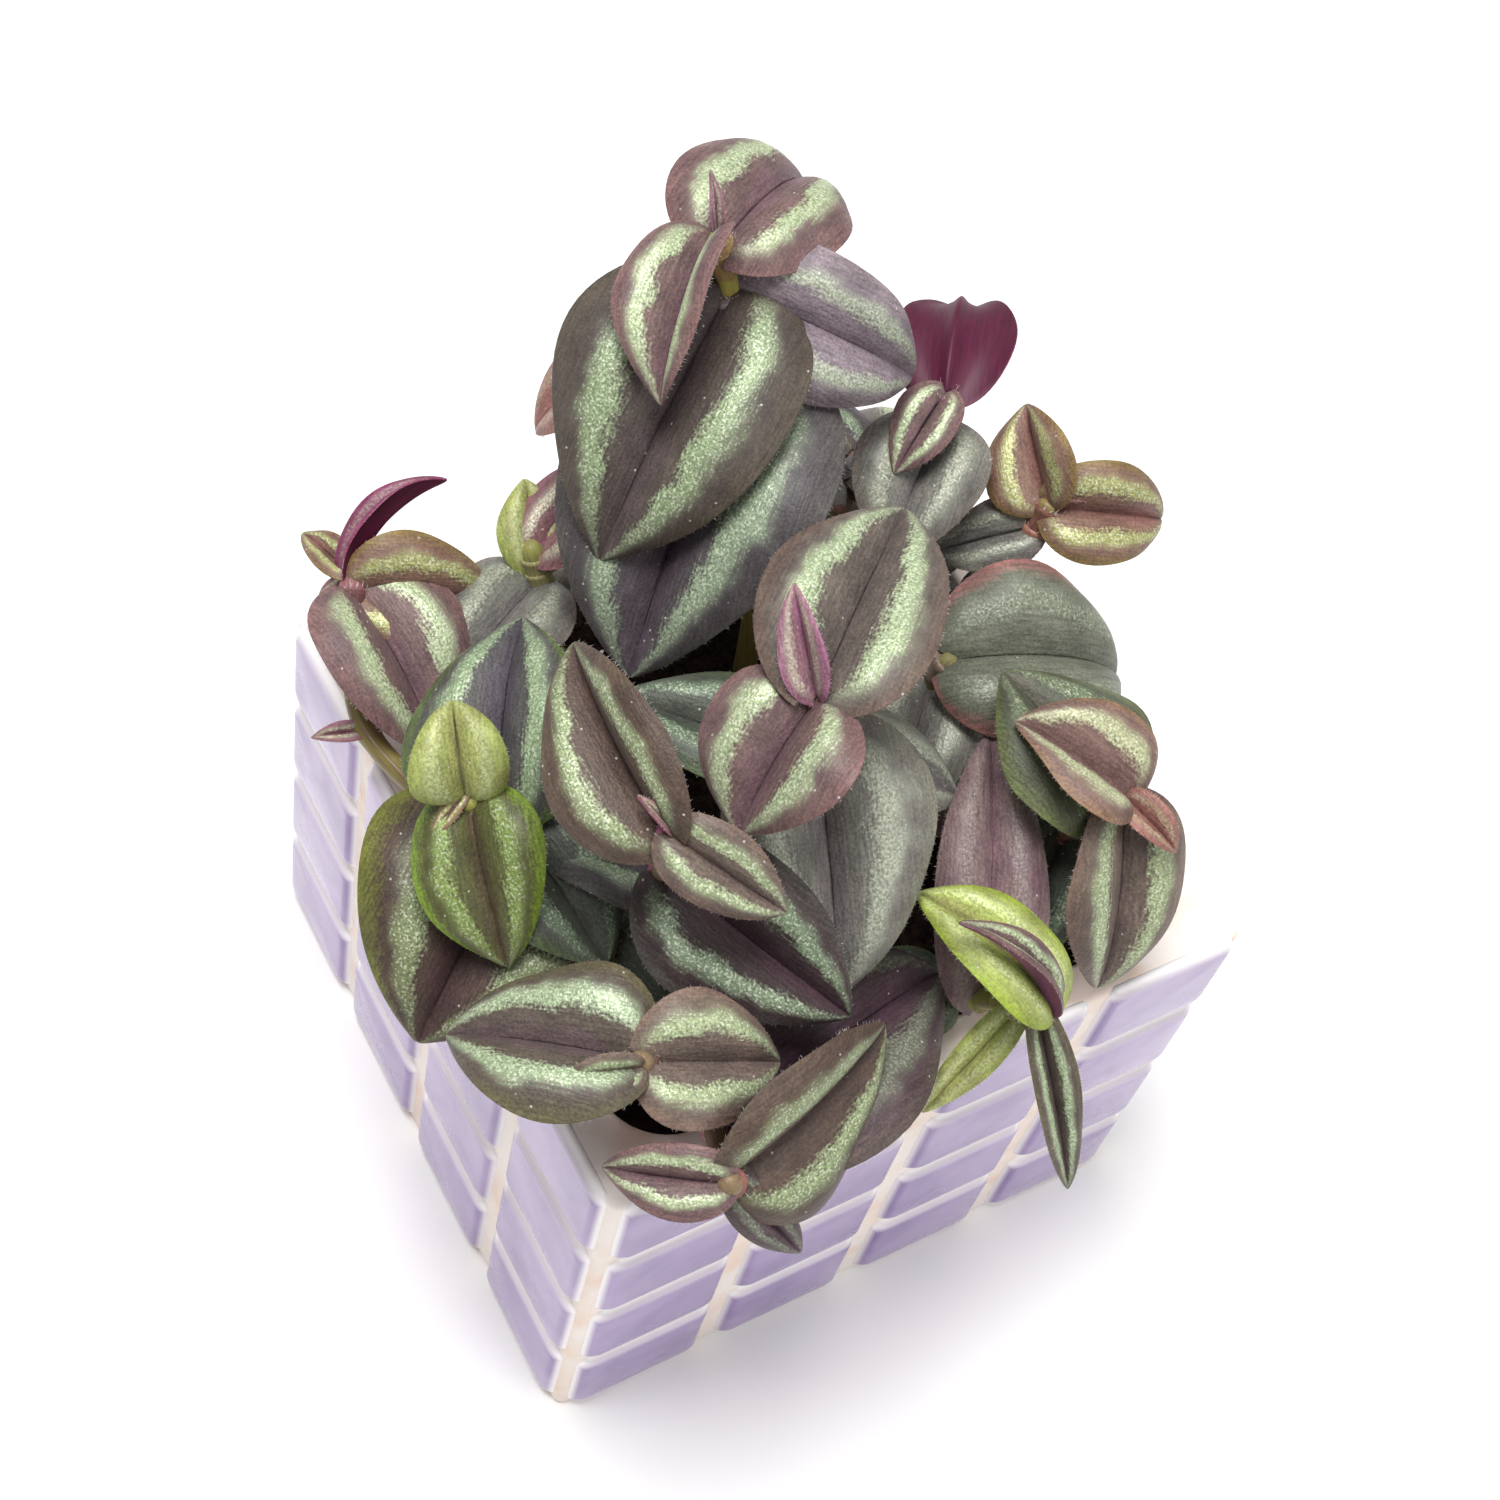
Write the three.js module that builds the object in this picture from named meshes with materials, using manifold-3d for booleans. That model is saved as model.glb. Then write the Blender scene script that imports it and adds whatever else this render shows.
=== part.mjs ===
// Potted tradescantia: a square tiled ceramic pot filled with soil, with leafy stems growing out of it.
// Millimetres, +Z up, origin at the middle of the pot's flat base, the pot's sides square to X and Y.
import * as THREE from 'three';
import { mergeVertices } from 'three/addons/utils/BufferGeometryUtils.js';
import Module from 'manifold-3d';

const wasm = await Module();
wasm.setup();

// Driving sizes of the pot
const potWidth = 95;
const potHeight = 70;
const wallThickness = 5.6;
const floorThickness = 6;
const outerCornerRadius = 1.6;
const innerCornerRadius = 9;
const rimBevel = 0.8;
const baseBevel = 1;

// Driving sizes of the tiles that stand out of each side
const tileColumns = 4;
const tileRows = 4;
const tileWidth = 20.8;
const tileTall = 16.2;
const columnPitch = potWidth / tileColumns;
const lowestTile = 1;
const rowPitch = (potHeight - lowestTile - tileTall) / (tileRows - 1);
const tileRelief = 1.3;
const tileChamfer = 1.7;
const tileSunk = 0.6;

// Driving sizes of the soil and the plant
const soilLevel = 61;
const soilRoughness = 1.6;
const soilMound = 1.5;
const soilRingShares = [0.85, 0.6, 0.35, 0.12];
const stemRadius = 1.5;
const stemTaper = 0.3;
const stemSteps = 6;
const stemSides = 6;
const bladeThickness = 0.7;
const clearance = 0.3;
const lobeReach = 0.08;
const puffShare = 0.16;
const marginDrop = 0.14;
const baseRoundness = 0.45;
const tipRoundness = 0.85;
const widestShare = 0.4324;
const smallBlade = 16;
const longStations = [0.02, 0.14, 0.34, 0.62, 0.985];
const longAcross = [-1, -0.55, 0, 0.55, 1];
const shortStations = [0.06, 0.3, 0.62, 0.985];
const shortAcross = [-1, 0, 1];

const radians = (degrees) => (degrees * Math.PI) / 180;

// Seeded draw, so that the soil comes out the same each time
let drawState = 20417;
function draw() {
  drawState = (drawState * 48271) % 2147483647;
  return drawState / 2147483647;
}

// Closed solid out of rings with the same number of points, with a flat fan over the first and last ring
function loft(rings) {
  const count = rings[0].length;
  const positions = [];
  const triangles = [];
  for (const ring of rings) {
    for (const point of ring) positions.push(point.x, point.y, point.z);
  }
  for (let r = 0; r + 1 < rings.length; r += 1) {
    for (let i = 0; i < count; i += 1) {
      const a = r * count + i;
      const b = r * count + ((i + 1) % count);
      triangles.push(a, b, b + count, a, b + count, a + count);
    }
  }
  const last = (rings.length - 1) * count;
  for (let i = 1; i + 1 < count; i += 1) {
    triangles.push(0, i + 1, i);
    triangles.push(last, last + i, last + i + 1);
  }
  return solidOf(positions, triangles);
}

// Positions and triangles, with shared points merged, as a solid that can be joined and cut
function solidOf(positions, triangles) {
  const geometry = new THREE.BufferGeometry();
  geometry.setAttribute('position', new THREE.Float32BufferAttribute(positions, 3));
  geometry.setIndex(triangles);
  const merged = mergeVertices(geometry, 1e-4);
  return new wasm.Manifold(new wasm.Mesh({
    numProp: 3,
    vertProperties: new Float32Array(merged.getAttribute('position').array),
    triVerts: new Uint32Array(merged.getIndex().array),
  }));
}

// Square ring with round corners, counter-clockwise seen from above
function squareRing(half, radius, z, cornerSteps = 4) {
  const ring = [];
  for (let corner = 0; corner < 4; corner += 1) {
    const turn = radians(90 * corner);
    const centre = new THREE.Vector2(half - radius, half - radius).rotateAround(new THREE.Vector2(), turn);
    for (let i = 0; i <= cornerSteps; i += 1) {
      const angle = turn + radians((90 * i) / cornerSteps);
      ring.push(new THREE.Vector3(
        centre.x + radius * Math.cos(angle),
        centre.y + radius * Math.sin(angle),
        z,
      ));
    }
  }
  return ring;
}

// Pot wall and floor as one loft: up the outside, over the rim and down the inside
function potBody(grow = 0) {
  const outer = potWidth / 2 + grow;
  const inner = potWidth / 2 - wallThickness - grow;
  const corner = outerCornerRadius + grow;
  const top = potHeight + grow;
  const floor = floorThickness + grow;
  return loft([
    squareRing(outer - baseBevel, corner, -grow),
    squareRing(outer, corner, baseBevel - grow),
    squareRing(outer, corner, top - rimBevel),
    squareRing(outer - rimBevel, corner, top),
    squareRing(inner + rimBevel, innerCornerRadius, top),
    squareRing(inner, innerCornerRadius, top - rimBevel),
    squareRing(inner, innerCornerRadius, floor + innerCornerRadius / 2),
    squareRing(inner - innerCornerRadius / 3, innerCornerRadius, floor),
  ]);
}

// One raised tile: a block with a sloped border, standing out of the side that faces -Y
function tile(x, z, grow = 0) {
  const section = (inset, stand) => {
    const w = tileWidth / 2 - inset + grow;
    const h = tileTall / 2 - Math.max(inset, 0) + grow;
    const y = -(potWidth / 2 + stand);
    const ring = [];
    for (const [sx, sz] of [[1, -1], [1, 1], [-1, 1], [-1, -1]]) {
      ring.push(new THREE.Vector3(x + sx * w, y, z + sz * h));
    }
    return ring;
  };
  const slope = tileChamfer / tileRelief;
  return loft([
    section(-slope * tileSunk, -tileSunk),
    section(tileChamfer, tileRelief + grow),
  ]);
}

function turned(solid, quarterTurns) {
  return solid.rotate([0, 0, 90 * quarterTurns]);
}

function potSolid(grow = 0) {
  let side = null;
  for (let column = 0; column < tileColumns; column += 1) {
    for (let row = 0; row < tileRows; row += 1) {
      const x = (column - (tileColumns - 1) / 2) * columnPitch;
      const z = lowestTile + tileTall / 2 + row * rowPitch;
      const block = tile(x, z, grow);
      side = side ? side.add(block) : block;
    }
  }
  let pot = potBody(grow);
  for (let quarter = 0; quarter < 4; quarter += 1) pot = pot.add(turned(side, quarter));
  return pot;
}

// Soil: fills the pot up to a rough top
function soilSolid() {
  const half = potWidth / 2 - wallThickness - clearance;
  const radius = innerCornerRadius - clearance;
  const rings = [
    squareRing(half - innerCornerRadius / 2, radius, floorThickness + clearance),
    squareRing(half, radius, floorThickness + innerCornerRadius),
    squareRing(half, radius, soilLevel - soilRoughness),
  ];
  for (const share of soilRingShares) {
    const ring = squareRing(half, radius, soilLevel + soilMound * (1 - share));
    for (const point of ring) {
      point.x *= share;
      point.y *= share;
      point.z += soilRoughness * (draw() - 0.5);
    }
    rings.push(ring);
  }
  return loft(rings);
}

// Directions of a blade: along its midrib, to its left and up out of its face
function bladeAxes({ heading, pitch, roll }) {
  const h = radians(heading);
  const p = radians(pitch);
  const r = radians(roll);
  const along = new THREE.Vector3(Math.cos(p) * Math.cos(h), Math.cos(p) * Math.sin(h), Math.sin(p));
  const level = new THREE.Vector3(-Math.sin(h), Math.cos(h), 0);
  const up = new THREE.Vector3().crossVectors(along, level);
  const left = level.clone().multiplyScalar(Math.cos(r)).addScaledVector(up, Math.sin(r));
  const face = up.clone().multiplyScalar(Math.cos(r)).addScaledVector(level, -Math.sin(r));
  return { along, left, face };
}

// Half-width of an ovate blade at share u of its length, as a share of its greatest half-width
function ovate(u) {
  return (Math.pow(u, baseRoundness) * Math.pow(1 - u, tipRoundness)) / widestShare;
}

// Blade: the midrib is an arc that turns by droop from base to tip, the two halves rise by fold from it
// in a valley, puff up between midrib and margin, and turn down at the margin
function blade(leaf, base, grow = 0) {
  const { along, left, face } = bladeAxes(leaf);
  const turn = radians(leaf.droop) || 1e-3;
  const bend = leaf.long / turn;
  const rise = radians(leaf.fold);
  const stations = leaf.long < smallBlade ? shortStations : longStations;
  const across = leaf.long < smallBlade ? shortAcross : longAcross;
  const topSide = [];
  const underSide = [];
  for (const u of stations) {
    const angle = turn / 2 - turn * u;
    const tangent = along.clone().multiplyScalar(Math.cos(angle)).addScaledVector(face, Math.sin(angle));
    const normal = face.clone().multiplyScalar(Math.cos(angle)).addScaledVector(along, -Math.sin(angle));
    const rib = base.clone()
      .addScaledVector(along, bend * (Math.sin(turn / 2) - Math.sin(angle)))
      .addScaledVector(face, bend * (Math.cos(angle) - Math.cos(turn / 2)))
      .addScaledVector(tangent, grow * (2 * u - 1));
    const half = (leaf.wide / 2) * ovate(u) + grow;
    for (const t of across) {
      const side = Math.abs(t);
      const lift = half
        * (side * Math.sin(rise) + puffShare * Math.sin(Math.PI * side) - marginDrop * side ** 3);
      const back = leaf.long * lobeReach * side ** 2 * (1 - u) ** 4;
      const middle = rib.clone()
        .addScaledVector(left, half * t * Math.cos(rise))
        .addScaledVector(normal, lift)
        .addScaledVector(tangent, -back);
      const thick = bladeThickness / 2 + grow;
      topSide.push(middle.clone().addScaledVector(normal, thick));
      underSide.push(middle.clone().addScaledVector(normal, -thick));
    }
  }
  return plate(topSide, underSide, stations.length, across.length);
}

// Closed plate between two grids of points, with both faces split into triangles the same way
function plate(topSide, underSide, rows, columns) {
  const positions = [];
  for (const point of [...topSide, ...underSide]) positions.push(point.x, point.y, point.z);
  const under = topSide.length;
  const triangles = [];
  for (let r = 0; r + 1 < rows; r += 1) {
    for (let c = 0; c + 1 < columns; c += 1) {
      const a = r * columns + c;
      const b = a + columns;
      triangles.push(a, b, b + 1, a, b + 1, a + 1);
      triangles.push(under + a, under + b + 1, under + b, under + a, under + a + 1, under + b + 1);
    }
  }
  const rim = [];
  for (let c = 0; c < columns; c += 1) rim.push(c);
  for (let r = 1; r < rows; r += 1) rim.push(r * columns + columns - 1);
  for (let c = columns - 2; c >= 0; c -= 1) rim.push((rows - 1) * columns + c);
  for (let r = rows - 2; r > 0; r -= 1) rim.push(r * columns);
  for (let i = 0; i < rim.length; i += 1) {
    const a = rim[i];
    const b = rim[(i + 1) % rim.length];
    triangles.push(a, b, under + b, a, under + b, under + a);
  }
  return solidOf(positions, triangles);
}

// Stem: a tapering rod along a smooth curve, thicker at its foot
function stalk(curve, grow = 0) {
  const rings = [];
  for (let i = 0; i <= stemSteps; i += 1) {
    const share = i / stemSteps;
    const tangent = curve.getTangentAt(share);
    const side = new THREE.Vector3(0, 1, 0).cross(tangent).normalize();
    const other = new THREE.Vector3().crossVectors(tangent, side);
    const centre = curve.getPointAt(share).addScaledVector(tangent, grow * (2 * share - 1));
    const radius = stemRadius * (1 + stemTaper * (0.5 - share)) + grow;
    const ring = [];
    for (let k = 0; k < stemSides; k += 1) {
      const angle = (2 * Math.PI * k) / stemSides;
      ring.push(centre.clone()
        .addScaledVector(side, radius * Math.cos(angle))
        .addScaledVector(other, radius * Math.sin(angle)));
    }
    rings.push(ring);
  }
  return loft(rings);
}

// Point of a stem's curve at a height above the base of the pot
function pointAtHeight(curve, height) {
  let low = 0;
  let high = 1;
  for (let i = 0; i < 30; i += 1) {
    const middle = (low + high) / 2;
    if (curve.getPointAt(middle).z < height) low = middle;
    else high = middle;
  }
  return curve.getPointAt((low + high) / 2);
}

// The leafy stems. path: points that the stem passes, from its foot in the soil.
// Each leaf leaves its stem at height up; heading is its direction seen from above (0 is +X, 90 is +Y),
// pitch its rise, roll its tilt about the midrib, fold the rise of its halves and droop the midrib's turn.
const shoots = [
  {
    name: 'stem_top',
    path: [[-18, 8, 48], [-24, 10, 78], [-33, 9, 104], [-37, 6, 120], [-40, 3, 131]],
    leaves: [
      { up: 129, heading: 122, pitch: -19, long: 29, wide: 23, roll: 4, fold: 10, droop: 70 },
      { up: 131, heading: 178, pitch: 62, long: 8, wide: 3, roll: 0, fold: 50, droop: 0 },
      { up: 130, heading: -44, pitch: -26, long: 22, wide: 20, roll: 34, fold: 45, droop: 30 },
      { up: 123, heading: -54, pitch: -36, long: 38, wide: 32, roll: -3, fold: 14, droop: 40 },
      { up: 112, heading: -46, pitch: -32, long: 44, wide: 38, roll: 8, fold: 18, droop: 40 },
      { up: 123, heading: 58, pitch: -22, long: 31, wide: 19, roll: 44, fold: 12, droop: 100 },
      { up: 110, heading: -112, pitch: -26, long: 33, wide: 22, roll: 0, fold: 15, droop: 105 },
      { up: 104, heading: 165, pitch: -34, long: 26, wide: 22, roll: 0, fold: 15, droop: 50 },
      { up: 96, heading: 95, pitch: -40, long: 22, wide: 18, roll: 0, fold: 15, droop: 40 },
      { up: 84, heading: 168, pitch: -10, long: 24, wide: 19, roll: 0, fold: 15, droop: 45 },
      { up: 78, heading: -130, pitch: -2, long: 21, wide: 17, roll: 0, fold: 15, droop: 35 },
    ],
  },
  {
    name: 'stem_heart',
    path: [[10, -16, 48], [15, -23, 78], [21, -31, 98], [24, -34, 112]],
    leaves: [
      { up: 111, heading: 179, pitch: 8, long: 26, wide: 20, roll: -50, fold: 34, droop: 30 },
      { up: 112, heading: 41, pitch: -22, long: 16.5, wide: 10.5, roll: 42, fold: 20, droop: 30 },
      { up: 112, heading: -146, pitch: 40, long: 6, wide: 3, roll: 0, fold: 50, droop: 0 },
      { up: 96, heading: 30, pitch: -13, long: 28, wide: 21, roll: 36, fold: 20, droop: 30 },
      { up: 88, heading: -140, pitch: -10, long: 20, wide: 16, roll: 0, fold: 15, droop: 40 },
    ],
  },
  {
    name: 'stem_crown',
    path: [[4, 0, 48], [8, -2, 78], [14, -8, 102], [18, -13, 119]],
    leaves: [
      { up: 119, heading: 130, pitch: 0, long: 31, wide: 23, roll: -2, fold: 20, droop: 30 },
      { up: 119, heading: 172, pitch: 34, long: 13, wide: 9, roll: -38, fold: 50, droop: 0 },
      { up: 118, heading: -60, pitch: -40, long: 18, wide: 22, roll: 14, fold: 20, droop: 40 },
      { up: 106, heading: -12, pitch: -42, long: 33, wide: 27, roll: 8, fold: 15, droop: 30 },
      { up: 88, heading: -135, pitch: 2, long: 26, wide: 18, roll: 0, fold: 15, droop: 30 },
      { up: 98, heading: 60, pitch: -20, long: 22, wide: 17, roll: 0, fold: 15, droop: 30 },
    ],
  },
  {
    name: 'stem_left',
    path: [[-2, -24, 48], [0, -32, 74], [3, -43, 90], [3, -48, 98]],
    leaves: [
      { up: 97, heading: -6, pitch: -36, long: 21, wide: 17, roll: 28, fold: 15, droop: 40 },
      { up: 98, heading: 168, pitch: 40, long: 12, wide: 13, roll: -14, fold: 25, droop: 80 },
      { up: 98, heading: -67, pitch: -27, long: 7, wide: 3, roll: -10, fold: 40, droop: 0 },
      { up: 90, heading: 149, pitch: 17, long: 26, wide: 24, roll: -24, fold: 15, droop: 40 },
      { up: 85, heading: -50, pitch: -20, long: 30, wide: 34, roll: -12, fold: 12, droop: 40 },
      { up: 89, heading: 12, pitch: -15, long: 22, wide: 21, roll: -4, fold: 15, droop: 30 },
    ],
  },
  {
    name: 'stem_far_left',
    path: [[-12, -30, 48], [-8, -38, 70], [-9, -46, 79], [-21, -50, 82], [-36, -45, 91]],
    leaves: [
      { up: 90, heading: 8, pitch: -26, long: 24, wide: 22, roll: -8, fold: 18, droop: 40 },
      { up: 91, heading: 108, pitch: 24, long: 18, wide: 8, roll: -40, fold: 60, droop: 60 },
      { up: 90, heading: 78, pitch: -18, long: 20.5, wide: 17, roll: 40, fold: 20, droop: 50 },
      { up: 91, heading: -168, pitch: -14, long: 11, wide: 6, roll: -14, fold: 30, droop: 20 },
      { up: 91, heading: -115, pitch: -60, long: 8, wide: 3, roll: -36, fold: 40, droop: 50 },
      { up: 81.5, heading: -109, pitch: -8, long: 7, wide: 4, roll: -20, fold: 45, droop: 0 },
    ],
  },
  {
    name: 'stem_front_left',
    path: [[24, -24, 48], [31, -33, 78], [38, -41, 90], [41, -44, 94]],
    leaves: [
      { up: 93, heading: -133, pitch: -19, long: 24, wide: 21, roll: -4, fold: 18, droop: 30 },
      { up: 94, heading: -109, pitch: -13, long: 9, wide: 8, roll: -40, fold: 45, droop: 20 },
      { up: 93, heading: 74, pitch: -16, long: 18, wide: 17, roll: 25, fold: 18, droop: 30 },
      { up: 80, heading: -172, pitch: -4, long: 20, wide: 16, roll: 0, fold: 15, droop: 35 },
    ],
  },
  {
    name: 'stem_front',
    path: [[32, -20, 48], [38, -29, 71], [50, -36, 80], [56, -39, 87]],
    leaves: [
      { up: 84, heading: 108, pitch: 7, long: 27, wide: 23, roll: 62, fold: 22, droop: 20 },
      { up: 77, heading: 102, pitch: -2, long: 38, wide: 30, roll: 5, fold: 20, droop: 30 },
      { up: 86, heading: -129, pitch: -13, long: 15, wide: 10, roll: -38, fold: 25, droop: 30 },
      { up: 84, heading: 44, pitch: -48, long: 17, wide: 7, roll: 40, fold: 20, droop: 20 },
    ],
  },
  {
    name: 'stem_hanging',
    path: [[30, 0, 48], [42, 4, 76], [50, 6, 85], [52, 7, 88]],
    leaves: [
      { up: 88, heading: -153, pitch: 12, long: 22, wide: 14, roll: 0, fold: 20, droop: 60 },
      { up: 88, heading: -135, pitch: 38, long: 19, wide: 7, roll: 12, fold: 50, droop: 60 },
      { up: 86, heading: 10, pitch: -57, long: 29, wide: 9, roll: 25, fold: 50, droop: 20 },
      { up: 84, heading: -80, pitch: -55, long: 20, wide: 6, roll: -18, fold: 25, droop: 30 },
      { up: 79, heading: 153, pitch: 26, long: 35, wide: 15, roll: -4, fold: 15, droop: 60 },
      { up: 73, heading: -110, pitch: -4, long: 17, wide: 14, roll: 0, fold: 15, droop: 30 },
    ],
  },
  {
    name: 'stem_right',
    path: [[20, 16, 48], [27, 20, 78], [34, 24, 93], [36, 25, 100.5]],
    leaves: [
      { up: 96, heading: -166, pitch: 16, long: 22, wide: 23, roll: 4, fold: 12, droop: 30 },
      { up: 100, heading: -143, pitch: 16, long: 17, wide: 20, roll: 0, fold: 35, droop: 20 },
      { up: 99, heading: -19, pitch: -60, long: 27, wide: 18, roll: -10, fold: 20, droop: 40 },
      { up: 100, heading: 20, pitch: -14, long: 9, wide: 7, roll: 22, fold: 45, droop: 50 },
      { up: 83, heading: -150, pitch: -14, long: 20, wide: 13, roll: -20, fold: 20, droop: 20 },
      { up: 88, heading: -50, pitch: -40, long: 20, wide: 14, roll: 0, fold: 15, droop: 40 },
      { up: 80, heading: 62, pitch: -6, long: 16, wide: 15, roll: 0, fold: 15, droop: 40 },
    ],
  },
  {
    name: 'stem_shade',
    path: [[4, 12, 48], [5, 14, 76], [8, 17, 98]],
    leaves: [
      { up: 97, heading: 76, pitch: -18, long: 30, wide: 24, roll: 20, fold: 12, droop: 90 },
      { up: 92, heading: -45, pitch: -20, long: 20, wide: 17, roll: 0, fold: 15, droop: 30 },
      { up: 88, heading: 170, pitch: -10, long: 24, wide: 18, roll: 0, fold: 15, droop: 40 },
    ],
  },
  {
    name: 'stem_upper_right',
    path: [[-10, 18, 48], [-15, 25, 80], [-20, 30, 102], [-21, 30, 112]],
    leaves: [
      { up: 112, heading: 138, pitch: -17, long: 27, wide: 16, roll: 168, fold: 10, droop: -110 },
      { up: 112, heading: -61, pitch: -32, long: 12.5, wide: 9, roll: 0, fold: 15, droop: 20 },
      { up: 106, heading: -48, pitch: -24, long: 20, wide: 18, roll: 0, fold: 15, droop: 30 },
      { up: 96, heading: 160, pitch: -45, long: 20, wide: 17, roll: 0, fold: 15, droop: 40 },
      { up: 84, heading: 118, pitch: -8, long: 20, wide: 17, roll: 0, fold: 15, droop: 45 },
      { up: 78, heading: 30, pitch: -4, long: 18, wide: 15, roll: 0, fold: 15, droop: 35 },
    ],
  },
  {
    name: 'stem_far_right',
    path: [[0, 26, 48], [-1, 31, 80], [-5, 38, 98], [-6, 40, 103]],
    leaves: [
      { up: 102, heading: 168, pitch: 25, long: 14, wide: 16, roll: -51, fold: 32, droop: 10 },
      { up: 102, heading: 74, pitch: -14, long: 19, wide: 15, roll: 42, fold: 24, droop: 70 },
      { up: 103, heading: 60, pitch: 10, long: 6, wide: 3, roll: 0, fold: 45, droop: 0 },
      { up: 99, heading: -117, pitch: -29, long: 15, wide: 10, roll: -24, fold: 12, droop: 20 },
      { up: 90, heading: 10, pitch: -30, long: 22, wide: 16, roll: 0, fold: 15, droop: 40 },
      { up: 83, heading: 108, pitch: -15, long: 18, wide: 16, roll: 0, fold: 15, droop: 45 },
    ],
  },
  {
    name: 'stem_west',
    path: [[-22, -16, 48], [-27, -20, 78], [-32, -22, 92]],
    leaves: [
      { up: 88, heading: 166, pitch: 28, long: 12, wide: 10, roll: 0, fold: 15, droop: 30 },
      { up: 90, heading: 115, pitch: 10, long: 18, wide: 12, roll: 0, fold: 15, droop: 40 },
      { up: 86, heading: -60, pitch: -6, long: 22, wide: 17, roll: 0, fold: 15, droop: 40 },
      { up: 84, heading: 170, pitch: -50, long: 24, wide: 18, roll: 0, fold: 15, droop: 40 },
    ],
  },
  {
    name: 'stem_back',
    path: [[-28, 24, 48], [-34, 30, 72], [-38, 34, 80]],
    leaves: [
      { up: 80, heading: 150, pitch: -40, long: 24, wide: 19, roll: 0, fold: 15, droop: 50 },
      { up: 79, heading: -150, pitch: -25, long: 24, wide: 18, roll: 0, fold: 15, droop: 50 },
      { up: 78, heading: 60, pitch: -25, long: 22, wide: 17, roll: 0, fold: 15, droop: 50 },
      { up: 76, heading: 95, pitch: -20, long: 20, wide: 16, roll: 0, fold: 15, droop: 50 },
    ],
  },
  {
    name: 'stem_east',
    path: [[14, 26, 48], [16, 31, 72], [17, 34, 82]],
    leaves: [
      { up: 82, heading: 62, pitch: -24, long: 15, wide: 15, roll: 0, fold: 15, droop: 50 },
      { up: 81, heading: 150, pitch: -16, long: 21, wide: 17, roll: 0, fold: 15, droop: 50 },
      { up: 79, heading: -10, pitch: -16, long: 21, wide: 17, roll: 0, fold: 15, droop: 40 },
      { up: 73, heading: 118, pitch: -4, long: 17, wide: 15, roll: 0, fold: 15, droop: 35 },
    ],
  },
];

function curveOf(shoot) {
  return new THREE.CatmullRomCurve3(shoot.path.map(([x, y, z]) => new THREE.Vector3(x, y, z)));
}

// What stays in one piece: the largest body of a solid, without loose scraps
function largestBody(solid) {
  return solid.decompose().reduce((best, body) => (body.volume() > best.volume() ? body : best));
}

function together(solids) {
  return solids.reduce((sum, solid) => sum.add(solid));
}

// Each leafy stem with the room that its stem and its leaves need round them
const plants = shoots.map((shoot) => {
  const curve = curveOf(shoot);
  const bases = shoot.leaves.map((leaf) => pointAtHeight(curve, leaf.up));
  return {
    name: shoot.name,
    stem: stalk(curve),
    leaves: together(shoot.leaves.map((leaf, i) => blade(leaf, bases[i]))),
    stemRoom: stalk(curve, clearance),
    leafRoom: together(shoot.leaves.map((leaf, i) => blade(leaf, bases[i], clearance))),
  };
});

// Leaves give way to the pot, to the other stems and to the leaves of the stems before theirs
const potRoom = potSolid(clearance);
for (const [i, plant] of plants.entries()) {
  let leaves = plant.leaves.subtract(potRoom);
  for (const [j, other] of plants.entries()) {
    if (j !== i) leaves = leaves.subtract(other.stemRoom);
    if (j < i) leaves = leaves.subtract(other.leafRoom);
  }
  plant.solid = largestBody(plant.stem.add(leaves));
}

// The soil has a hole round each stem, and gives way to a leaf that dips into it
let soil = soilSolid();
for (const plant of plants) soil = soil.subtract(plant.stemRoom).subtract(plant.leafRoom);
soil = largestBody(soil);

function meshOf(name, solid, material) {
  const { vertProperties, triVerts } = solid.getMesh();
  const geometry = new THREE.BufferGeometry();
  geometry.setAttribute('position', new THREE.Float32BufferAttribute(vertProperties, 3));
  geometry.setIndex(new THREE.Uint32BufferAttribute(triVerts, 1));
  geometry.computeVertexNormals();
  const mesh = new THREE.Mesh(geometry, material);
  mesh.name = name;
  return mesh;
}

const potMaterial = new THREE.MeshStandardMaterial({ color: '#cbbde0', roughness: 0.35, metalness: 0 });
const soilMaterial = new THREE.MeshStandardMaterial({ color: '#2a1f19', roughness: 0.95, metalness: 0 });
const leafMaterial = new THREE.MeshStandardMaterial({ color: '#6f7264', roughness: 0.55, metalness: 0 });

const group = new THREE.Group();
group.add(meshOf('pot', potSolid(), potMaterial));
group.add(meshOf('soil', soil, soilMaterial));
for (const plant of plants) group.add(meshOf(plant.name, plant.solid, leafMaterial.clone()));

export default group;
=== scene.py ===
# Potted tradescantia: a square pot of glazed ceramic with raised tiles, filled with potting soil, and leafy
# stems whose ovate leaves carry two silvery bands. Sizes and places are in millimetres, save for each
# Subsurface Scale, which is in metres.
import math
from itertools import combinations, product
import bpy
import numpy as np
from mathutils import Matrix, Vector


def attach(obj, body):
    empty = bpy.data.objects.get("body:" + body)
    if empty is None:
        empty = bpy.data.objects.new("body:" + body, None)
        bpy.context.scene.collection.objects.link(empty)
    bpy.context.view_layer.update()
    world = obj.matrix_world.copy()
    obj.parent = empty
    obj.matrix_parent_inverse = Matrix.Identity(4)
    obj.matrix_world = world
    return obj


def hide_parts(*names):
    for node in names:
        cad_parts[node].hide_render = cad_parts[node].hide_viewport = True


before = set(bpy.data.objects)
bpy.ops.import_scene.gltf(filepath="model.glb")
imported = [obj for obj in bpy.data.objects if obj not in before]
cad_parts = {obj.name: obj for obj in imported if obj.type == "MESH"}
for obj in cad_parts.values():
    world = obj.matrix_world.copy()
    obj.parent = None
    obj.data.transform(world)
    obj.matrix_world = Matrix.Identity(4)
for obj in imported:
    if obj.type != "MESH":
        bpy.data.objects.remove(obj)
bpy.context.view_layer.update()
mm = 0.001  # Blender works in metres
stemSeed = 20417  # each stem adds its number
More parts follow.
